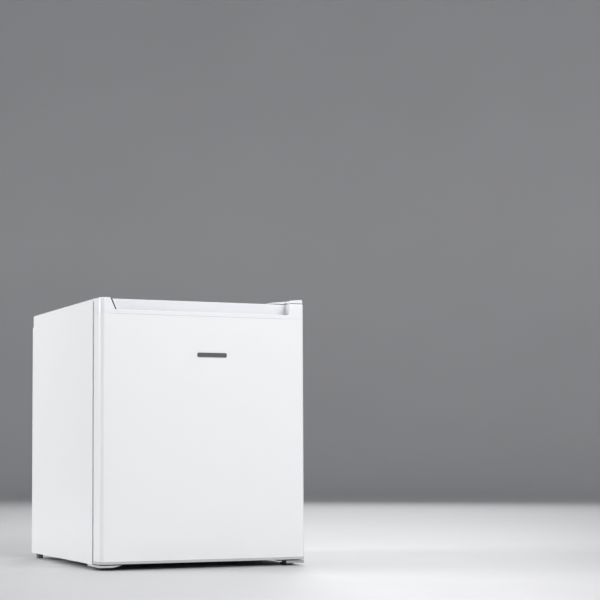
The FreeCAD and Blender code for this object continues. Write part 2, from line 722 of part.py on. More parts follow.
def door_liner():
    """Vacuum-formed inside of the door: a flat rim, a raised dike and lugs that carry the bins."""
    liner = Body("door_liner")
    wall, reach = s.liner_wall, door_back + s.dike_reach
    outer = rect((-dike_half, dike_half), (dike_low, dike_high))
    inner_half = dike_half - s.dike_width
    inner = rect((-inner_half, inner_half), (dike_low + s.dike_width, dike_high - s.dike_width))
    liner.pad("XZ", (door_liner_front, door_back), rect(
        (-door_flat, door_flat), (s.base_seam, door_liner_top)))
    liner.pad("XZ", (door_back, reach), outer, inner)
    liner.soften(4, ("x", {"y": (reach,), "z": (dike_low, dike_high)}),
                 ("z", {"y": (reach,), "x": (-dike_half, dike_half)}))
    liner.pocket("XZ", (door_liner_front, reach - wall), rect(
        (-dike_half + wall, dike_half - wall), (dike_low + wall, dike_high - wall)), rect(
        (-inner_half - wall, inner_half + wall),
        (dike_low + s.dike_width - wall, dike_high - s.dike_width + wall)))
    for level in lug_levels:
        lugs, stops = [], []
        for near, far in ((-inner_half, s.lug_reach - inner_half),
                          (inner_half - s.lug_reach, inner_half)):
            lugs.append(rect((near, far), (level, level + s.lug_height)))
            stops.append(rect((near, far), (level, level + s.stop_height)))
        liner.pad("XZ", (door_back + 3, reach), *lugs)
        liner.pad("XZ", (reach - 3, reach), *stops)
    liner.done()


def door_gasket():
    """Soft magnetic seal around the door's edge."""
    x, low, high = right - s.gasket_edge, base + s.gasket_edge, top - s.gasket_edge
    width = s.gasket_width
    seal = Body("door_gasket")
    seal.pad("XZ", (door_back, cabinet_front - 0.3), rect((-x, x), (low, high)), rect(
        (-x + width, x - width), (low + width, high - width)))
    seal.done()


def badge_plate():
    """Small blank plate on the door."""
    plate = Body("badge_plate")
    half, height = s.badge_half, s.badge_height
    plate.pad("XZ", (front - s.badge_thick, front), rect(
        (s.badge_x - half, s.badge_x + half), (s.badge_z - height / 2, s.badge_z + height / 2)))
    plate.soften(3, ("y", {"x": (s.badge_x - half, s.badge_x + half)}))
    plate.done()


def door_bin(name, low, high, bar):
    """Open door bin that hangs on the liner's lugs by an ear on each side."""
    tray = Body(name)
    near, far = door_back + 2, door_back + s.bin_reach
    half, wall = s.bin_half, s.bin_wall
    tray.pad("XY", (low, high), rect((-half, half), (near, far)))
    tray.pocket("XY", (low + wall, high), rect(
        (-half + wall, half - wall), (near + wall, far - wall)))
    tray.soften(12, ("z", {"x": (-half + wall, half - wall), "y": (far - wall,)}))
    tray.soften(14, ("z", {"x": (-half, half), "y": (far,)}))
    ears = [rect(span, (low + 18, low + 46))
            for span in ((-half - 2, -half), (half, half + 2))]
    tray.pad("XZ", (door_back + 3, door_back + s.dike_reach - 3.4), *ears)
    tray.pocket("XZ", (far - wall, far), rect((-half + 18, half - 18), (low + bar, high - 12)))
    tray.done()


# Cabin fittings
def ice_box():
    """Evaporator: a box wrapped from roll-bonded sheet, with the refrigerant channel raised."""
    cold = Body("ice_box")
    x0, x1, z0, z1 = s.ice_left, s.ice_right, s.ice_low, s.ice_high
    wall = s.roll_bond
    cold.pad("XZ", (s.ice_front, s.ice_back), rect((x0, x1), (z0, z1)))
    cold.pocket("XZ", (s.ice_front, s.ice_back - wall), rect(
        (x0 + wall, x1 - wall), (z0 + wall, z1 - wall)))
    cold.soften(7.5, ("y", {"x": (x0 + wall, x1 - wall)}))
    cold.soften(9, ("y", {"x": (x0, x1)}))
    rows = [s.ice_front + 26 + s.channel_pitch * i for i in range(5)]
    start, end, width = x0 + s.channel_inset, x1 - s.channel_inset, s.channel_width
    channels = [rect((start, end), (y, y + width)) for y in rows]
    cold.pad("XY", (z0 - s.channel, z0), *channels)
    links = [rect((start, start + width) if i % 2 else (end - width, end),
                  (y + width, y + s.channel_pitch))
             for i, y in enumerate(rows[:-1])]
    cold.pad("XY", (z0 - s.channel, z0), *links)
    cold.pocket("XY", (z1 - wall, z1), circles=[(place, s.screw_radius) for place in hangers])
    cold.done()


hangers = [(x, y) for x in (s.ice_left + 30, s.ice_right - 30) for y in (s.ice_front + 40, s.ice_back - 40)]


def ice_box_hangers():
    """Spacers and screws that hang the ice box from the cabin roof."""
    roof = cabin_roof - s.liner_wall
    spacers = [ring("z", (x, y, s.ice_high), dim(6), s.screw_radius, roof - s.ice_high)
               for x, y in hangers]
    piece("ice_box_spacers", group(*spacers))
    screws = [bolt(x, y, s.ice_high - s.roll_bond, roof, -1) for x, y in hangers]
    piece("ice_box_screws", group(*screws))


flap_axis_y = s.ice_front - s.frame_depth - s.flap_thick / 2 - 1
flap_axis_z = s.ice_high


def ice_box_frame():
    """Moulded surround of the ice box mouth, with the ears that hold the flap's pivots."""
    frame = Body("ice_box_frame")
    x0, x1, z0, z1 = s.ice_left - 6, s.ice_right + 6, s.ice_low - 6, s.ice_high + 6
    near = s.ice_front - s.frame_depth
    frame.pad("XZ", (near, s.ice_front), rect((x0, x1), (z0, z1)), rect(
        (x0 + s.frame_side, x1 - s.frame_side), (z0 + 14, z1 - 16)))
    ears = [rect((x0, x0 + 6.5), (z1 - 12, z1)), rect((x1 - 6.5, x1), (z1 - 12, z1))]
    frame.pad("XZ", (near - 6, near), *ears)
    frame.pocket("YZ", (x0, x0 + 6.5), circles=[((flap_axis_y, flap_axis_z), s.pivot_radius + 0.05)])
    frame.pocket("YZ", (x1 - 6.5, x1), circles=[((flap_axis_y, flap_axis_z), s.pivot_radius + 0.05)])
    frame.done()


def ice_box_flap():
    """Flap of the ice box, hung on pivots at its top edge, with a finger lip."""
    flap = Body("ice_box_flap")
    x0, x1 = s.ice_left + 2, s.ice_right - 2
    near, far = flap_axis_y - s.flap_thick / 2, flap_axis_y + s.flap_thick / 2
    flap.pad("XZ", (near, far), rect((x0, x1), (s.ice_low + 2, flap_axis_z + 1.5)))
    flap.pad("YZ", (x0 - 4, x1 + 4), circles=[((flap_axis_y, flap_axis_z), s.pivot_radius)])
    middle = (s.ice_left + s.ice_right) / 2
    flap.pad("XZ", (near - 9, near), rect(
        (middle - 32, middle + 32), (s.ice_low + 8, s.ice_low + 11)))
    flap.done()


def thermostat():
    """Control box beside the ice box: moulded housing, switch, sensing line and knob."""
    x0, x1 = s.ice_right + 12, cabin_half - s.liner_wall
    z0, z1 = tray_rim - s.ledge_height, cabin_roof - s.liner_wall - s.liner_round
    y0, y1 = s.ice_front, s.ice_front + s.housing_depth
    wall = s.housing_wall
    box_shell = Body("thermostat_housing")
    box_shell.pad("XZ", (y0, y1), rect((x0, x1), (z0, z1)))
    box_shell.pocket("XZ", (y0 + wall, y1), rect((x0 + wall, x1), (z0 + wall, z1 - wall)))
    box_shell.pad("XZ", (y0, y1), rect((x0 - 10, x0), (tray_rim - s.ledge_height, tray_rim)))
    box_shell.pocket("XZ", (y0, y0 + wall), circles=[((knob_x, knob_z), s.shaft_radius + 0.05)])
    box_shell.done()
    case = box((knob_x - 16, knob_x + 16), (y0 + 16, y0 + 46), (knob_z - 13, knob_z + 13))
    nose = ring("y", (knob_x, y0 + wall, knob_z), dim(8), dim(3.6), dim(13.5))
    cavity = rod("y", (knob_x, y0 + 16, knob_z), dim(3.6), dim(8))
    piece("thermostat_switch", join(carve(case, cavity), nose))
    start = x0 + wall
    sensor = [(knob_x, y0 + 46, knob_z), (knob_x, y0 + 66, knob_z), (start + 4, y0 + 66, knob_z),
              (start + 4, y0 + 100, knob_z)]
    tube("thermostat_sensor_line", sensor, s.capillary_radius, bend=6)
    disc = rod("y", (knob_x, y0 - 14, knob_z), s.knob_radius, s.knob_depth)
    shaft = rod("y", (knob_x, y0 - 1.5, knob_z), s.shaft_radius, dim(22))
    grip = box((knob_x - 3, knob_x + 3), (y0 - 17, y0 - 13), (knob_z - 13, knob_z + 14))
    piece("thermostat_knob", join(disc, shaft, grip))


knob_x = s.knob_x
knob_z = s.knob_z


def shelf():
    """Glass shelf held by two moulded edge trims."""
    half, low = s.shelf_half, s.shelf_level
    near, far = s.shelf_front, cabin_back - 8
    glass = Body("shelf_glass")
    glass.pad("XY", (low, low + s.glass), rect((-half, half), (near, far)))
    glass.soften(3, ("z", {"x": (-half, half)}))
    glass.done()
    trim_half = cabin_half - s.liner_wall - s.rib_reach - 1
    for name, start, end in (("shelf_front_trim", near - 5, near + s.trim_reach),
                             ("shelf_rear_trim", far - s.trim_reach, far + 3)):
        rail = box((-trim_half, trim_half), (start, end), (low - 5, low + s.glass + 4))
        slot = box((-half, half), (near, far), (low, low + s.glass))
        piece(name, carve(rail, slot))


def drip_tray():
    """Shallow tray under the ice box, hung by its side rims."""
    tray = Body("drip_tray")
    x0, x1 = s.ice_left + 4, s.ice_right
    near, far = s.ice_front - 8, s.ice_back
    low, wall = tray_rim - s.tray_depth, s.bin_wall
    tray.pad("XY", (low, tray_rim), rect((x0, x1), (near, far)))
    tray.pad("XY", (tray_rim, tray_rim + wall), rect((x0 - 14, x1 + 9), (near, far)))
    tray.pocket("XY", (low + wall, tray_rim + wall), rect(
        (x0 + wall, x1 - wall), (near + wall, far - wall)))
    tray.done()


# Cooling circuit
rail_top = base + s.plate
can_x, can_y = s.can_centre, (s.rail_front + s.rail_back) / 2
can_radius = s.can_radius
can_low, can_seam, can_high = base + s.can_rise, base + s.seam_rise, base + s.can_height
can_feet = [(can_x + dx * s.can_half, can_y + dy * s.foot_spread) for dx in (-1, 1) for dy in (-1, 1)]


def compressor_base():
    """Pressed tray across the back that carries the compressor, with the cord's entry hole."""
    tray = Body("compressor_base")
    half = skin - 0.5
    tray.pad("XY", (base, rail_top), rect((-half, half), (s.rail_front, s.rail_back)))
    tray.pad("XZ", (s.rail_back - s.plate, s.rail_back), rect((-half, half), (rail_top, base + 30)))
    tray.pocket("XZ", (s.rail_back - s.plate, s.rail_back), circles=[((cord_x, cord_z), s.cord_hole)])
    tray.pocket("XY", (base, rail_top), circles=[(place, s.screw_radius + 1)
                                                     for place in can_feet])
    tray.done()


cord_x = s.cord_x
cord_z = base + s.cord_rise


def cord_inlet_grommet():
    """Rubber grommet that lines the empty cord entry."""
    start = s.rail_back - s.plate - 2
    lip = ring("y", (cord_x, start, cord_z), s.grommet_radius, s.grommet_bore, dim(2))
    neck = ring("y", (cord_x, s.rail_back - s.plate, cord_z), s.cord_hole, s.grommet_bore, s.plate)
    outer = ring("y", (cord_x, s.rail_back, cord_z), s.grommet_radius, s.grommet_bore, dim(2))
    piece("cord_inlet_grommet", join(lip, neck, outer))


def compressor():
    """Sealed steel can on a foot plate, with its crimped filling stub."""
    lower = round_rims(rod("z", (can_x, can_y, can_low), can_radius, can_seam - can_low), 16, can_low)
    upper = round_rims(rod("z", (can_x, can_y, can_seam), can_radius - 1.5, can_high - can_seam),
                       22, can_high)
    seam = rod("z", (can_x, can_y, can_seam - 3), can_radius + 3, dim(3))
    foot = box((can_x - s.can_half - 9, can_x + s.can_half + 9), (can_y - 45, can_y + 45),
               (can_low - 3, can_low + 0.5))
    holes = [rod("z", (x, y, can_low - 3), dim(5), dim(3.5)) for x, y in can_feet]
    tip = can_high + s.stub_height
    stem = rod("z", (can_x - 2, can_y - 16, can_high - 2), dim(3), tip - can_high + 2)
    crimp = box((can_x - 6, can_x + 2), (can_y - 17, can_y - 15), (tip, tip + 8))
    piece("compressor", join(lower, upper, seam, carve(foot, *holes), stem, crimp))


def compressor_mounts():
    """Rubber grommets in the foot plate, and the bolts through them."""
    rubbers, bolts = [], []
    for x, y in can_feet:
        pad = ring("z", (x, y, rail_top), dim(8.5), dim(3), can_low - 3 - rail_top)
        neck = ring("z", (x, y, can_low - 3), dim(5), dim(3), dim(7))
        rubbers.append(join(pad, neck))
        bolts.append(join(rod("z", (x, y, base - 3), dim(3), can_low + 4 - base + 3),
                          rod("z", (x, y, can_low + 4), dim(6), dim(4)),
                          rod("z", (x, y, base - 3), dim(5.5), dim(3))))
    piece("compressor_grommets", group(*rubbers))
    piece("compressor_bolts", group(*bolts))


def compressor_terminals():
    """Starter relay on the can's side, under its own cover."""
    x1 = can_x - can_radius - 4
    relay = box((x1 - 18, x1), (can_y - 14, can_y + 14), (base + 42, base + 68))
    prongs = rod("x", (x1, can_y, base + 55), dim(5), dim(4))
    piece("starter_relay", join(relay, prongs))
    cover = box((x1 - 24, x1), (can_y - 22, can_y + 22), (base + 34, base + 76))
    hollow = box((x1 - 22, x1), (can_y - 20, can_y + 20), (base + 36, base + 74))
    piece("relay_cover", carve(cover, hollow))


levels = [s.condenser_low + s.condenser_pitch * i for i in range(8)]
tube_end = s.condenser_half - 8
drier_x, drier_y = tube_end - 16, panel_back - 7
drier_low, drier_top = base + s.drier_rise, base + s.drier_height
line_y = panel_back + 7


def condenser_tube():
    """Serpentine that rises from the drier to the top of the back."""
    crossing = recess_top - 14
    route = [(drier_x, drier_y, drier_top), (drier_x, drier_y, crossing),
             (drier_x, tube_plane, crossing), (drier_x, tube_plane, levels[0]),
             (-tube_end, tube_plane, levels[0])]
    for i, level in enumerate(levels[1:]):
        side = 1 if i % 2 else -1
        route += [(tube_end * side, tube_plane, level), (-side * tube_end, tube_plane, level)]
    tube("condenser_tube", route, s.tube_radius, bend=10)


def condenser_wires():
    """Wires welded across the serpentine on both sides."""
    wires = []
    pitch = s.condenser_half * 2 / (s.wire_count - 1)
    reach = s.tube_radius + s.wire_radius
    for i in range(int(s.wire_count.value)):
        for y in (tube_plane - reach, tube_plane + reach):
            at = (pitch * i - s.condenser_half, y, levels[0] - 12)
            wires.append(rod("z", at, s.wire_radius, levels[-1] - levels[0] + 24))
    piece("condenser_wires", group(*wires))


def condenser_brackets():
    """Moulded stand-offs that grip the serpentine between two wires."""
    pitch = s.condenser_half * 2 / (s.wire_count - 1)
    brackets, screws = [], []
    for x in (pitch * 2.5 - s.condenser_half, s.condenser_half - pitch * 2.5):
        for z in (levels[1], levels[6]):
            parts = [box((x - 7, x + 7), (panel_back, panel_back + 10), (z - 9, z + 9))]
            for low in (z + s.tube_radius, z - s.tube_radius - 4):
                parts.append(box((x - 3, x + 3), (panel_back + 10, tube_plane + 1), (low, low + 4)))
            bore = rod("y", (x, panel_back, z), s.screw_radius, dim(10))
            pocket = rod("y", (x, panel_back + 3, z), dim(4.5), dim(7))
            brackets.append(carve(join(*parts), bore, pocket))
            head = rod("y", (x, panel_back + 3, z), s.head_radius, s.head_height)
            screws.append(join(rod("y", (x, panel_back, z), s.screw_radius, dim(3)), head))
    piece("condenser_brackets", group(*brackets))
    piece("condenser_bracket_screws", group(*screws))


def refrigerant_lines():
    """Drier, capillary, suction and discharge lines, and the seal where they go in."""
    body = rod("z", (drier_x, drier_y, drier_low + 6), s.drier_radius, drier_top - drier_low - 12)
    ends = rod("z", (drier_x, drier_y, drier_low), dim(3.2), drier_top - drier_low)
    piece("filter_drier", join(body, ends))
    high, low = can_high + 18, base + 40
    x = pipe_x + 5
    tube("capillary_line", [
        (drier_x, drier_y, drier_low), (drier_x, drier_y, low), (x, drier_y, low),
        (x, drier_y, recess_top - 18), (x, line_y, recess_top - 18), (x, line_y, pipe_z),
        (x, panel_back - 10, pipe_z)], s.capillary_radius, bend=6)
    x, stub = pipe_x - 4, can_x - 14
    tube("suction_line", [
        (x, panel_back - 10, pipe_z), (x, line_y, pipe_z), (x, line_y, high),
        (x, can_y + 12, high), (stub, can_y + 12, high), (stub, can_y + 12, can_high)],
        s.suction_radius, bend=7)
    x, stub = tube_end + 18, can_x + 15
    tube("discharge_line", [
        (stub, can_y - 8, can_high), (stub, can_y - 8, high), (x, can_y - 8, high),
        (x, tube_plane, high), (x, tube_plane, levels[-1]),
        (tube_end, tube_plane, levels[-1])], s.tube_radius, bend=9)
    plug = rod("y", (pipe_x, foam_back - s.seal_depth, pipe_z), s.seal_radius,
               panel_back - foam_back + s.seal_depth)
    lines = [rod("y", (pipe_x + 5, panel_back - 10, pipe_z), s.capillary_radius, dim(16)),
             rod("y", (pipe_x - 4, panel_back - 10, pipe_z), s.suction_radius, dim(16))]
    piece("pipe_seal", carve(plug, *lines))


# Assembly
for build in (outer_shell, base_pan, recess_panel, back_panel, back_panel_screws,
              insulation_foam, inner_liner, hinge_nut_plates, hinge_bracket_top,
              hinge_screws_top, hinge_cover_top, hinge_hole_plugs, hinge_bracket_bottom,
              bracket_screws_bottom, front_left_foot_bracket, rear_feet, door_skin,
              door_top_cap, door_bottom_cap, door_bushes, door_foam, door_liner, door_gasket,
              badge_plate, ice_box, ice_box_hangers, ice_box_frame, ice_box_flap, thermostat,
              shelf, drip_tray, compressor_base, cord_inlet_grommet, compressor,
              compressor_mounts, compressor_terminals, condenser_tube, condenser_wires,
              condenser_brackets, refrigerant_lines):
    build()
front_foot(-1, "front_left_foot")
front_foot(1, "front_right_foot")
door_bin("door_bin_lower", s.bin_low_level, s.bin_low_level + s.bin_low_height,
         s.bin_low_bar)
door_bin("door_bin_upper", s.bin_high_level, s.bin_high_level + s.bin_high_height,
         s.bin_high_bar)
doc.recompute()

for thing in doc.Objects:
    if {"Invalid", "Error"} & set(thing.State):
        raise RuntimeError(f"{thing.Name} did not compute")
names = [thing.Label for thing in pieces]
if len(set(names)) != len(names):
    raise RuntimeError("two sub-parts share a name")
for thing in pieces:
    if thing.Shape.isNull() or not thing.Shape.isValid():
        raise RuntimeError(f"{thing.Label} has no valid shape")

os.makedirs("parts", exist_ok=True)
for thing in pieces:
    thing.Shape.exportStep(f"parts/{thing.Label}.step")
print(len(pieces), "sub-parts written")
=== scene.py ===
import bpy
import bmesh
import json
import math
import random
from mathutils import Matrix, Vector


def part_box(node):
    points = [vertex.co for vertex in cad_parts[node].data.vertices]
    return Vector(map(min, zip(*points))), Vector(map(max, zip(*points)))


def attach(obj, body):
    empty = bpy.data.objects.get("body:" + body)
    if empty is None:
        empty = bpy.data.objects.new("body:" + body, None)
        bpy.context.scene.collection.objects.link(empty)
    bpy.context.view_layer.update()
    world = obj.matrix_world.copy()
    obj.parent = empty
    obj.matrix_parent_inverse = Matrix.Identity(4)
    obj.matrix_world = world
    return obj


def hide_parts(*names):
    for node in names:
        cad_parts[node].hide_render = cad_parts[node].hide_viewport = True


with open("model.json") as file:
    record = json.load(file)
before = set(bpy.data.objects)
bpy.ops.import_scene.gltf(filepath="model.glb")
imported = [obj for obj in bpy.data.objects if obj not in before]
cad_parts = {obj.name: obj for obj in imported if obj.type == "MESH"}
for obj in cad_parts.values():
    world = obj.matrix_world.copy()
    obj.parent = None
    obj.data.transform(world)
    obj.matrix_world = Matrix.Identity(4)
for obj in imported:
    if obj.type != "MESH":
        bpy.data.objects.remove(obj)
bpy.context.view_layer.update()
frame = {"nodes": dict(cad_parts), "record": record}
cadNodes = frame["nodes"]
record = frame["record"]
slotOf = {part["node"]: part["material_slot"] for part in record["subparts"]}
bodyOf = {node: body for body, group in record["behaviour"]["bodies"].items() for node in group}
mm = 0.001
weldGap = 1e-6  # metres: corners nearer than this are one corner
shadeAngle = math.radians(32)  # flatter edges than this are shaded smooth
print("frame loaded,", len(cadNodes), "nodes")


# shader maths: a socket that Python's operators work on
class Wire:
    def __init__(self, graph, socket):
        self.graph = graph
        self.socket = socket

    def maths(self, operation, *values):
        return self.graph.add("ShaderNodeMath", {"operation": operation}, *values)

    def __add__(self, other):
        return self.maths("ADD", self, other)

    def __sub__(self, other):
        return self.maths("SUBTRACT", self, other)

    def __rsub__(self, other):
        return self.maths("SUBTRACT", other, self)

    def __mul__(self, other):
        return self.maths("MULTIPLY", self, other)

    __radd__ = __add__
    __rmul__ = __mul__

    def clamped(self, low, high):  # 0 at low, 1 at high, smooth between
        return self.graph.add("ShaderNodeMapRange", {"interpolation_type": "SMOOTHSTEP"},
                              self, low, high, 0.0, 1.0)


class Graph:
    def __init__(self, name):
        self.material = bpy.data.materials.new(name)
        self.material.use_nodes = True
        self.tree = self.material.node_tree
        self.surface = self.tree.nodes["Principled BSDF"]

    def add(self, kind, settings, *values, out=0):
        node = self.tree.nodes.new(kind)
        for key, value in settings.items():
            setattr(node, key, value)
        for socket, value in zip(node.inputs, values):
            self.feed(socket, value)
        return Wire(self, node.outputs[out])

    def feed(self, socket, value):
        if isinstance(value, Wire):
            self.tree.links.new(value.socket, socket)
        elif value is not None:
            socket.default_value = value

    def place(self):  # the piece's own coordinates, in metres
        return self.add("ShaderNodeTexCoord", {}, out="Object")

    def noise(self, scale, detail=2.0, stretch=None):
        where = self.place()
        if stretch:
            where = self.add("ShaderNodeMapping", {}, where, None, None, stretch)
        return self.add("ShaderNodeTexNoise", {}, where, None, scale, detail, 0.5)

    def cells(self, scale, out="Distance"):
        return self.add("ShaderNodeTexVoronoi", {"feature": "F1"}, self.place(), None, scale, out=out)

    def height(self):
        return self.add("ShaderNodeSeparateXYZ", {}, self.place(), out="Z")

    def blend(self, factor, first, second):
        node = self.tree.nodes.new("ShaderNodeMix")
        node.data_type = "RGBA"
        for index, value in ((0, factor), (6, first), (7, second)):
            if not isinstance(value, Wire) and index > 0:
                value = (*value, 1.0)
            self.feed(node.inputs[index], value)
        return Wire(self, node.outputs[2])

    def bump(self, relief, depth):
        node = self.tree.nodes.new("ShaderNodeBump")
        self.feed(node.inputs["Height"], relief)
        node.inputs["Distance"].default_value = depth
        self.set("Normal", Wire(self, node.outputs[0]))

    def set(self, name, value):
        self.feed(self.surface.inputs[name], value)

    def finish(self, **constants):
        for name, value in constants.items():
            self.surface.inputs[name.replace("_", " ")].default_value = value
        return self.material


def paintedSteel(name, colour, shade, gloss, peel=0.00002):
    graph = Graph(name)
    drift = graph.noise(3.0, 3.0)
    # painted shade: colour darkened in the lowest 6 cm, towards the floor, broken up by noise;
    # roughness is raised there too
    floorShade = (1.0 - graph.height().clamped(0.0, 0.06)) * graph.noise(60.0, 4.0) * 0.35
    graph.set("Base Color", graph.blend(drift * 0.5 + floorShade, colour, shade))
    graph.set("Roughness", gloss + graph.noise(22.0, 4.0) * 0.08 + floorShade * 0.2)
    graph.bump(graph.noise(520.0, 2.0) + graph.noise(130.0, 1.0) * 0.8, peel)
    return graph.finish(Coat_Weight=0.12, Coat_Roughness=0.2)


def mouldedPlastic(name, colour, shade, gloss, grain=0.000012, coat=0.0):
    graph = Graph(name)
    flow = graph.noise(14.0, 3.0, (1.0, 1.0, 0.35))
    graph.set("Base Color", graph.blend(flow * 0.6, colour, shade))
    graph.set("Roughness", gloss + graph.noise(45.0, 3.0) * 0.1)
    graph.bump(graph.noise(1500.0, 1.0) + graph.cells(900.0) * 0.7, grain)
    return graph.finish(Coat_Weight=coat, Subsurface_Weight=0.04, Subsurface_Scale=0.004)


def clearPlastic(name, colour, shade):
    graph = Graph(name)
    graph.set("Base Color", graph.blend(graph.noise(9.0, 2.0), colour, shade))
    graph.set("Roughness", 0.1 + graph.noise(60.0, 3.0) * 0.08)
    graph.bump(graph.noise(70.0, 1.0), 0.00006)
    return graph.finish(Transmission_Weight=0.82, IOR=1.49)


def shelfGlass(name):
    graph = Graph(name)
    graph.set("Base Color", graph.blend(graph.noise(5.0), (0.90, 0.97, 0.95), (0.86, 0.95, 0.92)))
    graph.set("Roughness", 0.02 + graph.noise(30.0, 3.0) * 0.03)
    return graph.finish(Transmission_Weight=0.96, IOR=1.5)


def zincCoated(name, colour, shade, spangle=160.0):
    graph = Graph(name)
    flakes = graph.cells(spangle, out="Color")
    tone = graph.add("ShaderNodeSeparateColor", {}, flakes)
    graph.set("Base Color", graph.blend(tone * 0.6 + graph.noise(18.0, 4.0) * 0.4, colour, shade))
    graph.set("Roughness", 0.34 + tone * 0.16 + graph.noise(90.0, 2.0) * 0.1)
    graph.bump(graph.noise(240.0, 3.0), 0.00002)
    return graph.finish(Metallic=0.9)


def brushedMetal(name, colour, shade, gloss, stretch):
    graph = Graph(name)
    lines = graph.noise(900.0, 2.0, stretch)
    graph.set("Base Color", graph.blend(graph.noise(25.0, 4.0), colour, shade))
    graph.set("Roughness", gloss + lines * 0.12)
    graph.bump(lines, 0.000012)
    return graph.finish(Metallic=0.95)


def blackEnamel(name):
    graph = Graph(name)
    dust = graph.noise(35.0, 4.0).clamped(0.45, 0.8)
    graph.set("Base Color", graph.blend(dust * 0.5, (0.012, 0.012, 0.014), (0.06, 0.058, 0.055)))
    graph.set("Roughness", 0.3 + dust * 0.3)
    graph.bump(graph.noise(330.0, 2.0), 0.00005)
    return graph.finish(Coat_Weight=0.25)


def copperTube(name):
    graph = Graph(name)
    tarnish = graph.noise(28.0, 5.0).clamped(0.35, 0.75)
    graph.set("Base Color", graph.blend(tarnish, (0.82, 0.42, 0.26), (0.38, 0.20, 0.14)))
    graph.set("Roughness", 0.24 + tarnish * 0.3)
    graph.bump(graph.noise(400.0, 2.0), 0.00001)
    return graph.finish(Metallic=0.92)


def softRubber(name, colour, shade, gloss=0.62):
    graph = Graph(name)
    graph.set("Base Color", graph.blend(graph.noise(40.0, 4.0), colour, shade))
    graph.set("Roughness", gloss + graph.noise(120.0, 2.0) * 0.12)
    graph.bump(graph.noise(1100.0, 2.0), 0.00002)
    return graph.finish(Specular_IOR_Level=0.4)


def foamCells(name):
    graph = Graph(name)
    cells = graph.cells(420.0)
    graph.set("Base Color", graph.blend(cells, (0.78, 0.66, 0.36), (0.62, 0.50, 0.24)))
    graph.set("Roughness", 0.85 + cells * 0.1)
    graph.bump(cells, 0.0003)
    return graph.finish(Subsurface_Weight=0.05)


finishes = {
    "cabinet_paint": paintedSteel("cabinetPaint", (0.86, 0.865, 0.87), (0.82, 0.825, 0.835), 0.3),
    "zinc_sheet": zincCoated("zincSheet", (0.62, 0.64, 0.66), (0.46, 0.48, 0.50)),
    "bracket_paint": paintedSteel("bracketPaint", (0.40, 0.405, 0.41), (0.30, 0.305, 0.31), 0.36),
    "screw_steel": brushedMetal("screwSteel", (0.66, 0.66, 0.64), (0.5, 0.5, 0.47), 0.26, (1, 1, 6)),
    "foam": foamCells("rigidFoam"),
    "liner_plastic": mouldedPlastic("linerPlastic", (0.86, 0.87, 0.88), (0.82, 0.83, 0.85), 0.2,
                                    0.00001, 0.3),
    "cap_plastic": mouldedPlastic("capPlastic", (0.855, 0.86, 0.885), (0.825, 0.83, 0.855), 0.26,
                                  0.000008, 0.2),
    "trim_plastic": mouldedPlastic("trimPlastic", (0.55, 0.56, 0.57), (0.48, 0.49, 0.50), 0.38),
    "gasket_rubber": softRubber("gasketRubber", (0.44, 0.45, 0.47), (0.38, 0.39, 0.41)),
    "bush_plastic": mouldedPlastic("bushPlastic", (0.72, 0.71, 0.66), (0.66, 0.65, 0.6), 0.35),
    "badge": mouldedPlastic("badgeDark", (0.11, 0.113, 0.12), (0.085, 0.088, 0.095), 0.26),
    "bin_plastic": clearPlastic("binPlastic", (0.95, 0.98, 1.0), (0.91, 0.95, 0.98)),
    "shelf_glass": shelfGlass("shelfGlass"),
    "shelf_trim": mouldedPlastic("shelfTrim", (0.84, 0.85, 0.86), (0.79, 0.80, 0.82), 0.24),
    "ice_aluminium": brushedMetal("iceAluminium", (0.80, 0.81, 0.83), (0.68, 0.69, 0.72), 0.3,
                                  (1, 0.05, 1)),
    "ice_plastic": mouldedPlastic("icePlastic", (0.80, 0.85, 0.90), (0.75, 0.81, 0.87), 0.18),
    "control_plastic": mouldedPlastic("controlPlastic", (0.84, 0.84, 0.82), (0.79, 0.79, 0.77), 0.3),
    "switch_case": mouldedPlastic("switchCase", (0.035, 0.035, 0.038), (0.055, 0.055, 0.058), 0.45),
    "foot_rubber": softRubber("footRubber", (0.22, 0.225, 0.24), (0.16, 0.165, 0.175)),
    "black_rubber": softRubber("blackRubber", (0.02, 0.02, 0.022), (0.045, 0.045, 0.045), 0.7),
    "black_enamel": blackEnamel("blackEnamel"),
    "copper": copperTube("copperTube"),
}
for node, shown in cadNodes.items():
    shown.data.materials.clear()
    shown.data.materials.append(finishes[slotOf[node]])
print("materials made,", len(finishes))


# pieces: making, placing, and standing in for a node
def meshPiece(name, mesh, slot, body, *stands):
    piece = bpy.data.objects.new(name, mesh)
    bpy.context.scene.collection.objects.link(piece)
    mesh.materials.clear()
    mesh.materials.append(finishes[slot])
    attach(piece, body)
    if stands:
        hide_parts(*stands)
    return piece


def smoothByAngle(bm, limit=shadeAngle):
    for face in bm.faces:
        face.smooth = True
    for edge in bm.edges:
        edge.smooth = len(edge.link_faces) == 2 and edge.calc_face_angle(0) < limit


def meshFrom(bm, name):
    mesh = bpy.data.meshes.new(name)
    bm.to_mesh(mesh)
    bm.free()
    return mesh


easing = {"flat": math.radians(0.6), "corner": math.radians(34), "wide": 0.6, "steps": 2,
          "wideSteps": 3}  # faces joined below flat, edges eased above corner


def mergedNode(node):  # the node's own surface, its loose triangles joined up
    bm = bmesh.new()
    bm.from_mesh(cadNodes[node].data)
    bmesh.ops.remove_doubles(bm, verts=bm.verts, dist=weldGap)
    bmesh.ops.dissolve_limit(bm, angle_limit=easing["flat"], verts=bm.verts, edges=bm.edges)
    return bm


def easedPiece(node, radius, segments):  # the node with its edges broken to a small radius
    bm = mergedNode(node)
    smoothByAngle(bm)
    piece = meshPiece(camel(node), meshFrom(bm, camel(node)), slotOf[node], bodyOf[node], node)
    edges = piece.modifiers.new("easedEdges", "BEVEL")
    edges.width = radius
    edges.segments = segments
    edges.limit_method = "ANGLE"
    edges.angle_limit = easing["corner"]
    edges.harden_normals = True
    edges.use_clamp_overlap = True
    return piece


def camel(node):
    first, *rest = node.split("_")
    return first + "".join(word.capitalize() for word in rest)


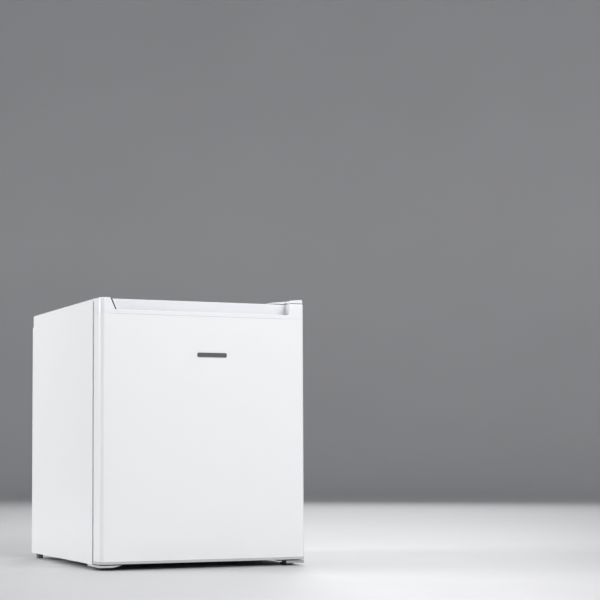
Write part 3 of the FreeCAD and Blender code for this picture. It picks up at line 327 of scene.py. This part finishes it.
easedEdges = {  # radius in mm
    "outer_shell": 0.25, "door_skin": 0.22, "door_top_cap": 0.9, "door_bottom_cap": 0.5,
    "hinge_cover_top": 1.0, "hinge_bracket_top": 0.4, "hinge_bracket_bottom": 0.5,
    "front_left_foot_bracket": 0.8, "front_left_foot_glide": 0.8, "front_right_foot_glide": 0.8,
    "rear_feet": 0.9, "badge_plate": 0.35, "compressor_base": 0.35, "recess_panel": 0.2,
    "relay_cover": 1.2, "starter_relay": 0.8, "condenser_brackets": 0.6, "ice_box": 0.3,
    "ice_box_frame": 1.0, "ice_box_flap": 0.7, "ice_box_spacers": 0.4, "thermostat_housing": 1.6,
    "shelf_glass": 0.7, "shelf_front_trim": 1.6, "shelf_rear_trim": 1.6, "drip_tray": 0.7,
    "door_bin_lower": 0.7, "door_bin_upper": 0.7, "hinge_hole_plugs": 0.3, "inner_liner": 0.5,
    "door_liner": 0.45, "compressor": 0.7, "compressor_grommets": 0.9, "threaded_inserts": 0.3,
    "back_panel": 0.15, "base_pan": 0.15, "thermostat_switch": 0.6, "pipe_seal": 0.8,
    "cord_inlet_grommet": 0.6, "filter_drier": 1.6, "door_bush_top": 0.2, "door_bush_bottom": 0.2,
}
for node, radius in easedEdges.items():
    steps = easing["wideSteps"] if radius > easing["wide"] else easing["steps"]
    easedPiece(node, radius * mm, steps)
print("eased pieces,", len(easedEdges))


# solids in a node that holds several, each as its lowest and highest corner
def solidsOf(node):
    bm = bmesh.new()
    bm.from_mesh(cadNodes[node].data)
    bmesh.ops.remove_doubles(bm, verts=bm.verts, dist=weldGap)
    waiting = set(bm.verts)
    found = []
    while waiting:
        queue = [waiting.pop()]
        corners = []
        while queue:
            vert = queue.pop()
            corners.append(vert.co.copy())
            near = {edge.other_vert(vert) for edge in vert.link_edges} & waiting
            waiting -= near
            queue.extend(near)
        found.append([Vector([pick(co[i] for co in corners) for i in range(3)])
                      for pick in (min, max)])
    bm.free()
    return sorted(found, key=lambda ends: tuple(ends[0]))


# a profile of (radius, height) turned about Z, its rings beyond fluteFrom fluted
def turned(bm, profile, sides, flutes=0, fluteDepth=0.0, fluteFrom=0.0):
    rings = []
    for radius, height in profile:
        ring = []
        for k in range(sides if radius > 0 else 1):
            turn = 2 * math.pi * k / sides
            groove = fluteDepth * (0.5 - 0.5 * math.cos(flutes * turn))
            reach = radius - (groove if radius > fluteFrom else 0)
            ring.append(bm.verts.new((reach * math.cos(turn), reach * math.sin(turn), height)))
        rings.append(ring)
    for low, high in zip(rings, rings[1:]):
        for k in range(sides):
            following = (k + 1) % sides
            corners = (low[k % len(low)], low[following % len(low)],
                       high[following % len(high)], high[k % len(high)])
            bm.faces.new(list(dict.fromkeys(corners)))
    return bm


def block(bm, low, high):
    made = bmesh.ops.create_cube(bm, size=1.0)["verts"]
    for vert in made:
        vert.co = [(a + b) / 2 + c * (b - a) for a, b, c in zip(low, high, vert.co)]
    return bm


def closedMesh(bm, name, limit=shadeAngle):
    bmesh.ops.recalc_face_normals(bm, faces=bm.faces)
    smoothByAngle(bm, limit)
    return meshFrom(bm, name)


def standIn(name, mesh):  # an object for a moment, to be evaluated or repeated
    thing = bpy.data.objects.new(name, mesh)
    bpy.context.scene.collection.objects.link(thing)
    return thing


def evaluatedMesh(thing):
    graph = bpy.context.evaluated_depsgraph_get()
    mesh = bpy.data.meshes.new_from_object(thing.evaluated_get(graph), depsgraph=graph)
    bpy.data.objects.remove(thing)
    return mesh


# a part set at each point, turned by the point's own "turn"
def placedTree():
    tree = bpy.data.node_groups.new("placedParts", "GeometryNodeTree")
    ports = {"Geometry": "NodeSocketGeometry", "Part": "NodeSocketObject",
             "Part Scale": "NodeSocketFloat", "Finish": "NodeSocketMaterial"}
    keys = {label: tree.interface.new_socket(label, in_out="INPUT", socket_type=kind).identifier
            for label, kind in ports.items()}
    tree.interface.new_socket("Geometry", in_out="OUTPUT", socket_type="NodeSocketGeometry")
    given = tree.nodes.new("NodeGroupInput").outputs
    info = tree.nodes.new("GeometryNodeObjectInfo")
    turn = tree.nodes.new("GeometryNodeInputNamedAttribute")
    turn.data_type = "FLOAT_VECTOR"
    turn.inputs["Name"].default_value = "turn"
    copies = tree.nodes.new("GeometryNodeInstanceOnPoints")
    real = tree.nodes.new("GeometryNodeRealizeInstances")
    painted = tree.nodes.new("GeometryNodeSetMaterial")
    result = tree.nodes.new("NodeGroupOutput").inputs
    for source, target in (
            (given["Part"], info.inputs["Object"]), (given["Geometry"], copies.inputs["Points"]),
            (info.outputs["Geometry"], copies.inputs["Instance"]),
            (turn.outputs["Attribute"], copies.inputs["Rotation"]),
            (given["Part Scale"], copies.inputs["Scale"]),
            (copies.outputs["Instances"], real.inputs["Geometry"]),
            (real.outputs["Geometry"], painted.inputs["Geometry"]),
            (given["Finish"], painted.inputs["Material"]),
            (painted.outputs["Geometry"], result["Geometry"])):
        tree.links.new(source, target)
    return tree, keys


partTree, partKeys = placedTree()


def placedPieces(name, partMesh, places, turns, slot, body, *stands):
    points = bpy.data.meshes.new(name)
    points.from_pydata([tuple(place) for place in places], [], [])
    turnOf = points.attributes.new("turn", "FLOAT_VECTOR", "POINT")
    turnOf.data.foreach_set("vector", [value for turn in turns for value in turn])
    part = standIn(name + "Part", partMesh)
    holder = standIn(name + "Points", points)
    spread = holder.modifiers.new("placed", "NODES")
    spread.node_group = partTree
    spread[partKeys["Part"]] = part
    spread[partKeys["Part Scale"]] = 1.0
    spread[partKeys["Finish"]] = finishes[slot]
    mesh = evaluatedMesh(holder)
    bpy.data.objects.remove(part)
    return meshPiece(name, mesh, slot, body, *stands)


def facing(direction, spin=0.0):  # Euler turn that points a part's Z along a direction
    tilt = Vector((0, 0, 1)).rotation_difference(Vector(direction)).to_matrix().to_4x4()
    return tuple((tilt @ Matrix.Rotation(spin, 4, "Z")).to_euler())


# cross-head screws: a pan head with a cross recess on a plain shank
screwSize = {"headRise": 1.8 * mm, "shankRadius": 2.0 * mm, "sides": 32,
             "dome": ((1.0, 0.4), (0.93, 0.72), (0.66, 0.94)),  # shares of radius and rise
             "recessReach": 0.56, "recessWeb": 0.13, "recessDepth": 0.75}


def screwMesh(headRadius, length):
    rise, shank = screwSize["headRise"], screwSize["shankRadius"]
    profile = [(0, -length), (shank, -length), (shank, 0), (headRadius, 0)]
    profile += [(out * headRadius, up * rise) for out, up in screwSize["dome"]]
    profile.append((0, rise))
    body = standIn("screwBody", closedMesh(turned(bmesh.new(), profile, screwSize["sides"]),
                                           "screwBody"))
    arm, web = screwSize["recessReach"] * headRadius, screwSize["recessWeb"] * headRadius
    floor = rise - screwSize["recessDepth"] * rise
    bar = meshFrom(block(bmesh.new(), (-arm, -web, floor), (arm, web, 2 * rise)), "recess")
    tools = [standIn("recessA", bar), standIn("recessB", bar)]
    tools[1].rotation_euler.z = math.pi / 2
    for tool in tools:
        cut = body.modifiers.new("recess", "BOOLEAN")
        cut.operation = "DIFFERENCE"
        cut.object = tool
    bpy.context.view_layer.update()
    mesh = evaluatedMesh(body)
    for tool in tools:
        bpy.data.objects.remove(tool)
    return mesh


screwSets = {  # the way each set of heads faces
    "back_panel_screws": (0, 1, 0), "hinge_screws_top": (0, 0, 1),
    "bracket_screws_bottom": (0, 0, -1), "ice_box_screws": (0, 0, -1),
    "condenser_bracket_screws": (0, 1, 0),
}
spins = random.Random(11)
for node, direction in screwSets.items():
    axis = Vector(direction)
    places, turns = [], []
    for low, high in solidsOf(node):
        middle, half = (low + high) / 2, (high - low) / 2
        reach = abs(half.dot(axis))
        places.append(middle + axis * (reach - screwSize["headRise"]))
        turns.append(facing(direction, spins.uniform(0, math.pi / 2)))
        headRadius = max(half[i] for i in range(3) if abs(axis[i]) < 0.5)
    shape = screwMesh(headRadius, 2 * reach - screwSize["headRise"])
    placedPieces(camel(node), shape, places, turns, slotOf[node], bodyOf[node], node)
print("screws,", len(screwSets), "sets")


# hexagon bolts through the compressor's feet
def compressorBolts():
    size = {"flange": 6.0 * mm, "flangeThick": 1.0 * mm, "rise": 4.0 * mm, "shank": 3.0 * mm,
            "shankFoot": 2.0 * mm, "shankOver": 1.0 * mm, "nut": 5.5 * mm, "nutThick": 3.0 * mm,
            "hexFoot": 0.5 * mm, "chamfer": 0.6 * mm, "hex": 0.88, "hexTop": 0.76,
            "creases": math.radians(24)}
    ends = solidsOf("compressor_bolts")
    length = ends[0][1].z - ends[0][0].z
    top = length - size["rise"]
    flange, hexRadius = size["flange"], size["hex"] * size["flange"]
    foot, over = size["shankFoot"], top + size["shankOver"]
    under, rim = top + size["hexFoot"], top + size["flangeThick"]
    bm = bmesh.new()
    turned(bm, [(0, 0), (size["nut"], 0), (size["nut"], size["nutThick"]), (0, size["nutThick"])], 6)
    turned(bm, [(0, foot), (size["shank"], foot), (size["shank"], over), (0, over)], 24)
    turned(bm, [(0, top), (flange, top), (flange, rim), (0, rim)], 32)
    turned(bm, [(0, under), (hexRadius, under), (hexRadius, length - size["chamfer"]),
                (size["hexTop"] * flange, length), (0, length)], 6)
    shape = closedMesh(bm, "hexBolt", size["creases"])
    places = [((low.x + high.x) / 2, (low.y + high.y) / 2, low.z) for low, high in ends]
    turns = [(0, 0, spins.uniform(0, math.pi / 3)) for end in ends]
    placedPieces("compressorBolts", shape, places, turns, slotOf["compressor_bolts"],
                 bodyOf["compressor_bolts"], "compressor_bolts")


compressorBolts()


# weld beads where the wires cross the serpentine's runs
def weldBeads():
    size = {"rows": 8, "overhang": 12 * mm, "radius": 1.25 * mm, "rise": 0.8 * mm, "bend": 10 * mm,
            "sides": 6, "shoulder": (0.75, 0.6), "offset": 0.7 * mm, "scatter": 0.2}
    r, h = size["radius"], size["rise"]
    out, up = size["shoulder"][0] * r, size["shoulder"][1] * h
    profile = [(0, -h), (out, -up), (r, 0), (out, up), (0, h)]
    shape = closedMesh(turned(bmesh.new(), profile, size["sides"]), "weldBead", math.radians(80))
    low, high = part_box("condenser_wires")
    middle = (low.y + high.y) / 2
    bottom, top = low.z + size["overhang"], high.z - size["overhang"]
    inside = min(-low.x, high.x) - 2 * size["bend"]
    places, turns = [], []
    for wireLow, wireHigh in solidsOf("condenser_wires"):
        wire = (wireLow + wireHigh) / 2
        if abs(wire.x) > inside:
            continue
        toward = 1 if middle > wire.y else -1
        for row in range(size["rows"]):
            level = bottom + (top - bottom) * row / (size["rows"] - 1)
            stray = spins.uniform(-size["scatter"], size["scatter"]) * mm
            places.append((wire.x, wire.y + toward * size["offset"], level + stray))
            turns.append((math.pi / 2, 0, spins.uniform(0, math.pi)))
    placedPieces("condenserWelds", shape, places, turns, slotOf["condenser_wires"],
                 bodyOf["condenser_wires"])
    print("weld beads,", len(places))


weldBeads()


# magnetic door seal: a flat foot, a bellows fold and the pocket that holds the magnet
def doorGasket():
    low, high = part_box("door_gasket")
    depth = high.y - low.y
    profile = [(0.0, 0.0), (0.2, 0.16), (2.6, 0.27), (2.9, 0.36), (1.0, 0.50), (0.1, 0.62),
               (0.1, 0.93), (0.6, 1.0), (9.6, 1.0), (10.2, 0.92), (10.2, 0.66), (12.2, 0.52),
               (12.6, 0.36), (11.8, 0.24), (13.8, 0.14), (14.0, 0.0)]  # mm inwards, share of depth
    bm = bmesh.new()
    rows = []
    for x, z, inX, inZ in ((low.x, low.z, 1, 1), (high.x, low.z, -1, 1), (high.x, high.z, -1, -1),
                           (low.x, high.z, 1, -1)):
        rows.append([bm.verts.new((x + inX * inset * mm, low.y + share * depth, z + inZ * inset * mm))
                     for inset, share in profile])
    for near, far in zip(rows, rows[1:] + rows[:1]):
        for k in range(len(profile)):
            after = (k + 1) % len(profile)
            bm.faces.new((near[k], far[k], far[after], near[after]))
    meshPiece("doorGasket", closedMesh(bm, "doorGasket", math.radians(50)), "gasket_rubber",
              bodyOf["door_gasket"], "door_gasket")


doorGasket()


# dark strip down the slanted end of the finger trough: painted shadow standing in for the shade in
# the gap at the trough's end
def gripEndSeal():
    size = {"lip": 498.6 * mm, "rise": 21.0 * mm, "foot": -183.6 * mm, "slant": -9.1 * mm,
            "width": 2.0 * mm, "near": 0.6 * mm, "depth": 2.4 * mm}
    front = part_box("door_skin")[0].y
    bm = bmesh.new()
    near, far = [], []
    for x, z in ((0, 0), (size["width"], 0), (size["width"] + size["slant"], size["rise"]),
                 (size["slant"], size["rise"])):
        for ring, y in ((near, size["near"]), (far, size["near"] + size["depth"])):
            ring.append(bm.verts.new((size["foot"] + x, front + y, size["lip"] + z)))
    bm.faces.new(near)
    bm.faces.new(far)
    for k in range(4):
        after = (k + 1) % 4
        bm.faces.new((near[k], near[after], far[after], far[k]))
    # the black rubber finish here is painted shadow, not a real seal
    meshPiece("gripEndSeal", closedMesh(bm, "gripEndSeal"), "black_rubber", bodyOf["door_top_cap"])


gripEndSeal()


# fluted control knob with a pointer bar, facing the user
def thermostatKnob():
    size = {"skirt": 16.0 * mm, "crown": 13.4 * mm, "thick": 12.5 * mm, "shaft": 3.0 * mm,
            "sides": 168, "flutes": 28, "fluteDepth": 0.7 * mm, "fluteFrom": 8.0 * mm,
            "rim": 1.6 * mm, "ease": 0.6 * mm, "slopeFoot": 2.4 * mm, "slopeTop": 3.4 * mm,
            "round": 0.5 * mm, "barHalf": 2.6 * mm, "barBack": 12.6 * mm, "barFront": 14.0 * mm,
            "barSunk": 2.0 * mm, "barRise": 3.0 * mm, "barEase": 0.9 * mm}
    low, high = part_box("thermostat_knob")
    middle = (low + high) / 2
    seat = low.y + size["barRise"] + size["thick"]
    tail = high.y - seat
    radius, crown, thick, shaft = (size[key] for key in ("skirt", "crown", "thick", "shaft"))
    rim, ease, soft = size["rim"], size["ease"], size["round"]
    profile = [(0, -tail), (shaft, -tail), (shaft, 0), (radius, 0), (radius, rim),
               (radius - ease, size["slopeFoot"]), (crown + ease, size["slopeTop"]),
               (crown, thick - rim), (crown - soft, thick - soft), (crown - rim, thick), (0, thick)]
    bm = turned(bmesh.new(), profile, size["sides"], size["flutes"], size["fluteDepth"],
                size["fluteFrom"])
    bar = block(bmesh.new(), (-size["barHalf"], -size["barBack"], thick - size["barSunk"]),
                (size["barHalf"], size["barFront"], thick + size["barRise"]))
    bmesh.ops.bevel(bar, geom=bar.edges[:], offset=size["barEase"], segments=3, affect="EDGES",
                    profile=0.6)
    bm.from_mesh(meshFrom(bar, "pointerBar"))
    stand = Matrix.Translation((middle.x, seat, (low.z + high.z) / 2)) @ Matrix.Rotation(
        math.pi / 2, 4, "X")
    bmesh.ops.transform(bm, matrix=stand, verts=bm.verts)
    meshPiece("thermostatKnob", closedMesh(bm, "thermostatKnob", math.radians(28)),
              slotOf["thermostat_knob"], bodyOf["thermostat_knob"], "thermostat_knob")
    return Vector((middle.x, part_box("thermostat_housing")[0].y, (low.z + high.z) / 2))


# settings marked round the knob: short ticks, and figures from 0 to 7
def thermostatDial(centre):
    size = {"sweep": 300, "figures": 8, "minor": 4, "tickRadius": 19.2 * mm, "figureRadius": 24 * mm,
            "figureSize": 5.2 * mm, "raised": 0.12 * mm, "tickHalf": 0.25 * mm, "tickReach": 1.1 * mm}
    steps = (size["figures"] - 1) * size["minor"]
    corner = Vector((size["tickHalf"], size["raised"], size["tickReach"]))
    tick = closedMesh(block(bmesh.new(), -corner, corner), "dialTick")
    places, turns = [], []
    for i in range(steps + 1):
        turn = math.radians(size["sweep"] * i / steps)
        ray = Vector((math.sin(turn), 0, math.cos(turn)))
        places.append(centre + ray * size["tickRadius"])
        turns.append((0, turn, 0))
    placedPieces("dialTicks", tick, places, turns, "switch_case", "cabinet")
    bm = bmesh.new()
    for i in range(size["figures"]):
        turn = math.radians(size["sweep"] * i / (size["figures"] - 1))
        text = bpy.data.curves.new("figure", "FONT")
        text.body = str(i)
        text.size = size["figureSize"]
        text.extrude = size["raised"]
        text.align_x = text.align_y = "CENTER"
        mesh = evaluatedMesh(standIn("figure", text))
        ray = Vector((math.sin(turn), 0, math.cos(turn)))
        mesh.transform(Matrix.Translation(centre + ray * size["figureRadius"])
                       @ Matrix.Rotation(math.pi / 2, 4, "X"))
        bm.from_mesh(mesh)
    meshPiece("dialFigures", meshFrom(bm, "dialFigures"), "switch_case", "cabinet")


thermostatDial(thermostatKnob())
print("control knob and dial made")


# a path through corner points, its corners rounded
def roundedPath(points, radius, steps=6):
    path = [points[0]]
    for before, corner, after in zip(points, points[1:], points[2:]):
        into, out = (corner - before).normalized(), (after - corner).normalized()
        for i in range(steps + 1):
            share = i / steps
            start, end = corner - into * radius, corner + out * radius
            path.append(start.lerp(corner, share).lerp(corner.lerp(end, share), share))
    return path + [points[-1]]


# refrigerant channel blown up in the ice box's sides
def iceChannel(side):
    size = {"rows": 5, "front": 22 * mm, "back": 18 * mm, "low": 13 * mm, "high": 15 * mm,
            "radius": 3.2 * mm, "flat": 0.5, "bend": 7 * mm}
    low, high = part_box("ice_box")
    face = low.x if side < 0 else high.x
    near, far = low.y + size["front"], high.y - size["back"]
    corners = []
    for row in range(size["rows"]):
        level = low.z + size["low"] + (high.z - low.z - size["low"] - size["high"]) * row / (
            size["rows"] - 1)
        ends = [near, far] if row % 2 == 0 else [far, near]
        corners += [Vector((face, y, level)) for y in ends]
    curve = bpy.data.curves.new("iceChannel", "CURVE")
    curve.dimensions = "3D"
    curve.bevel_depth = size["radius"]
    curve.bevel_resolution = 3
    curve.use_fill_caps = True
    path = roundedPath(corners, size["bend"])
    run = curve.splines.new("POLY")
    run.points.add(len(path) - 1)
    for point, place in zip(run.points, path):
        point.co = (*place, 1)
    mesh = evaluatedMesh(standIn("iceChannel", curve))
    for vert in mesh.vertices:
        vert.co.x = face + (vert.co.x - face) * size["flat"]
    for polygon in mesh.polygons:
        polygon.use_smooth = True
    name = "iceChannelLeft" if side < 0 else "iceChannelRight"
    meshPiece(name, mesh, "ice_aluminium", bodyOf["ice_box"])


for side in (-1, 1):
    iceChannel(side)


# stiffening swages pressed in the back panel, between the condenser's brackets
def panelSwages():
    size = {"count": 4, "first": 269 * mm, "pitch": 38 * mm, "half": 165 * mm, "radius": 5 * mm,
            "rise": 1.2 * mm, "sunk": 0.1 * mm}
    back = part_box("back_panel")[1].y
    bm = bmesh.new()
    bmesh.ops.create_uvsphere(bm, u_segments=24, v_segments=12, radius=size["radius"])
    for vert in bm.verts:
        if abs(vert.co.x) > weldGap:
            vert.co.x += math.copysign(size["half"] - size["radius"], vert.co.x)
        vert.co.y *= size["rise"] / size["radius"]
    places = [(0, back - size["sunk"], size["first"] + size["pitch"] * i)
              for i in range(size["count"])]
    placedPieces("backPanelSwages", closedMesh(bm, "swage", math.radians(60)), places,
                 [(0, 0, 0)] * size["count"], slotOf["back_panel"], bodyOf["back_panel"])


panelSwages()
print("ice box channels and panel swages made")


# levelling studs with a helical thread: crest and root rows that climb one pitch per turn
def threadedStud(node):
    size = {"pitch": 1.0 * mm, "depth": 0.5 * mm, "sides": 24}
    low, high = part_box(node)
    middle, radius = (low + high) / 2, (high.x - low.x) / 2
    pitch, sides = size["pitch"], size["sides"]
    rows = 2 * int((high.z - low.z) / pitch + 3)
    bm = bmesh.new()
    grid = []
    for row in range(rows):
        reach = radius - (size["depth"] if row % 2 else 0)
        ring = []
        for k in range(sides):
            turn = 2 * math.pi * k / sides
            level = low.z + (row - 3 + 2 * k / sides) * pitch / 2
            ring.append(bm.verts.new((middle.x + reach * math.cos(turn),
                                      middle.y + reach * math.sin(turn),
                                      min(max(level, low.z), high.z))))
        grid.append(ring)
    for row in range(rows - 3):
        for k in range(sides):
            lift, after = (2, 0) if k == sides - 1 else (0, k + 1)
            bm.faces.new((grid[row][k], grid[row + lift][after], grid[row + 1 + lift][after],
                          grid[row + 1][k]))
    bmesh.ops.remove_doubles(bm, verts=bm.verts, dist=weldGap)
    bmesh.ops.dissolve_degenerate(bm, edges=bm.edges, dist=weldGap)
    bmesh.ops.delete(bm, geom=[vert for vert in bm.verts if not vert.link_faces], context="VERTS")
    bmesh.ops.holes_fill(bm, edges=bm.edges, sides=0)
    meshPiece(camel(node), closedMesh(bm, camel(node), math.radians(40)), slotOf[node],
              bodyOf[node], node)


for node in ("front_left_foot_stud", "front_right_foot_stud"):
    threadedStud(node)
print("threaded studs made")


# camera, floor and light
def lookCamera():
    setup = {"place": (-1.16679, -3.21148, 0.2183), "yaw": 22.701, "pitch": 3.343, "roll": -0.133,
             "lens": 97.997, "sensor": 36, "shift": 0.1}
    yaw, pitch, roll = (math.radians(setup[key]) for key in ("yaw", "pitch", "roll"))
    ahead = Vector((math.sin(yaw) * math.cos(pitch), math.cos(yaw) * math.cos(pitch),
                    math.sin(pitch)))
    level = Vector((math.cos(yaw), -math.sin(yaw), 0))
    rise = level.cross(ahead)
    side = level * math.cos(roll) + rise * math.sin(roll)
    up = rise * math.cos(roll) - level * math.sin(roll)
    data = bpy.data.cameras.new("camera")
    data.lens = setup["lens"]
    data.sensor_width = setup["sensor"]
    data.shift_x = data.shift_y = setup["shift"]
    camera = bpy.data.objects.new("camera", data)
    turn = Matrix((side, up, -ahead)).transposed().to_4x4()
    camera.matrix_world = Matrix.Translation(setup["place"]) @ turn
    bpy.context.scene.collection.objects.link(camera)
    bpy.context.scene.camera = camera


def studio():
    setup = {"radius": 5.5, "sweep": 1.6, "wall": 4.5, "steps": 12, "sides": 96}
    profile = [(0.0, 0.0), (setup["radius"], 0.0)]
    for i in range(1, setup["steps"] + 1):
        turn = math.pi / 2 * i / setup["steps"]
        profile.append((setup["radius"] + setup["sweep"] * math.sin(turn),
                        setup["sweep"] * (1 - math.cos(turn))))
    profile.append((setup["radius"] + setup["sweep"], setup["wall"]))
    bm = bmesh.new()
    rows = []
    for i in range(setup["sides"]):
        turn = 2 * math.pi * i / setup["sides"]
        rows.append([bm.verts.new((r * math.cos(turn), r * math.sin(turn), z))
                     for r, z in profile[1:]])
    for near, far in zip(rows, rows[1:] + rows[:1]):
        for low in range(len(near) - 1):
            bm.faces.new((near[low], far[low], far[low + 1], near[low + 1]))
    bm.faces.new([row[0] for row in rows])
    bmesh.ops.recalc_face_normals(bm, faces=bm.faces)
    smoothByAngle(bm)
    floor = bpy.data.objects.new("studioFloor", meshFrom(bm, "studioFloor"))
    bpy.context.scene.collection.objects.link(floor)
    graph = Graph("studioPaper")
    graph.set("Base Color", graph.blend(graph.noise(1.2, 2.0), (0.60, 0.60, 0.61),
                                        (0.56, 0.56, 0.57)))
    graph.set("Roughness", 0.5 + graph.noise(6.0) * 0.1)
    floor.data.materials.append(graph.finish())


def softbox(name, place, size, power):
    aim = Vector((0, 0, 0.27))  # the middle of the cabinet
    data = bpy.data.lights.new(name, "AREA")
    data.shape = "RECTANGLE"
    data.size, data.size_y = size
    data.energy = power
    lamp = bpy.data.objects.new(name, data)
    lamp.location = place
    lamp.rotation_mode = "QUATERNION"
    lamp.rotation_quaternion = (aim - Vector(place)).to_track_quat("-Z", "Y")
    bpy.context.scene.collection.objects.link(lamp)


lights = {  # place, width and height, watts
    "keyLight": ((-3.2, 1.2, 1.6), (1.6, 2.0), 96),
    "frontLight": ((1.2, -3.5, 2.2), (3.0, 1.4), 112),
    "fillLight": ((0.2, -3.9, 2.6), (1.6, 1.2), 7),
    "topLight": ((0.2, 0.2, 3.2), (2.6, 2.6), 42),
    "backLight": ((2.0, 3.0, 1.9), (1.8, 1.8), 40),
}
air = {"colour": (0.9, 0.93, 1.0, 1.0), "strength": 0.18}

lookCamera()
studio()
for name, setup in lights.items():
    softbox(name, *setup)
world = bpy.data.worlds.new("studioAir")
world.use_nodes = True
world.node_tree.nodes["Background"].inputs[0].default_value = air["colour"]
world.node_tree.nodes["Background"].inputs[1].default_value = air["strength"]
bpy.context.scene.world = world
bpy.context.scene.view_settings.view_transform = "Standard"
print("camera and light set")
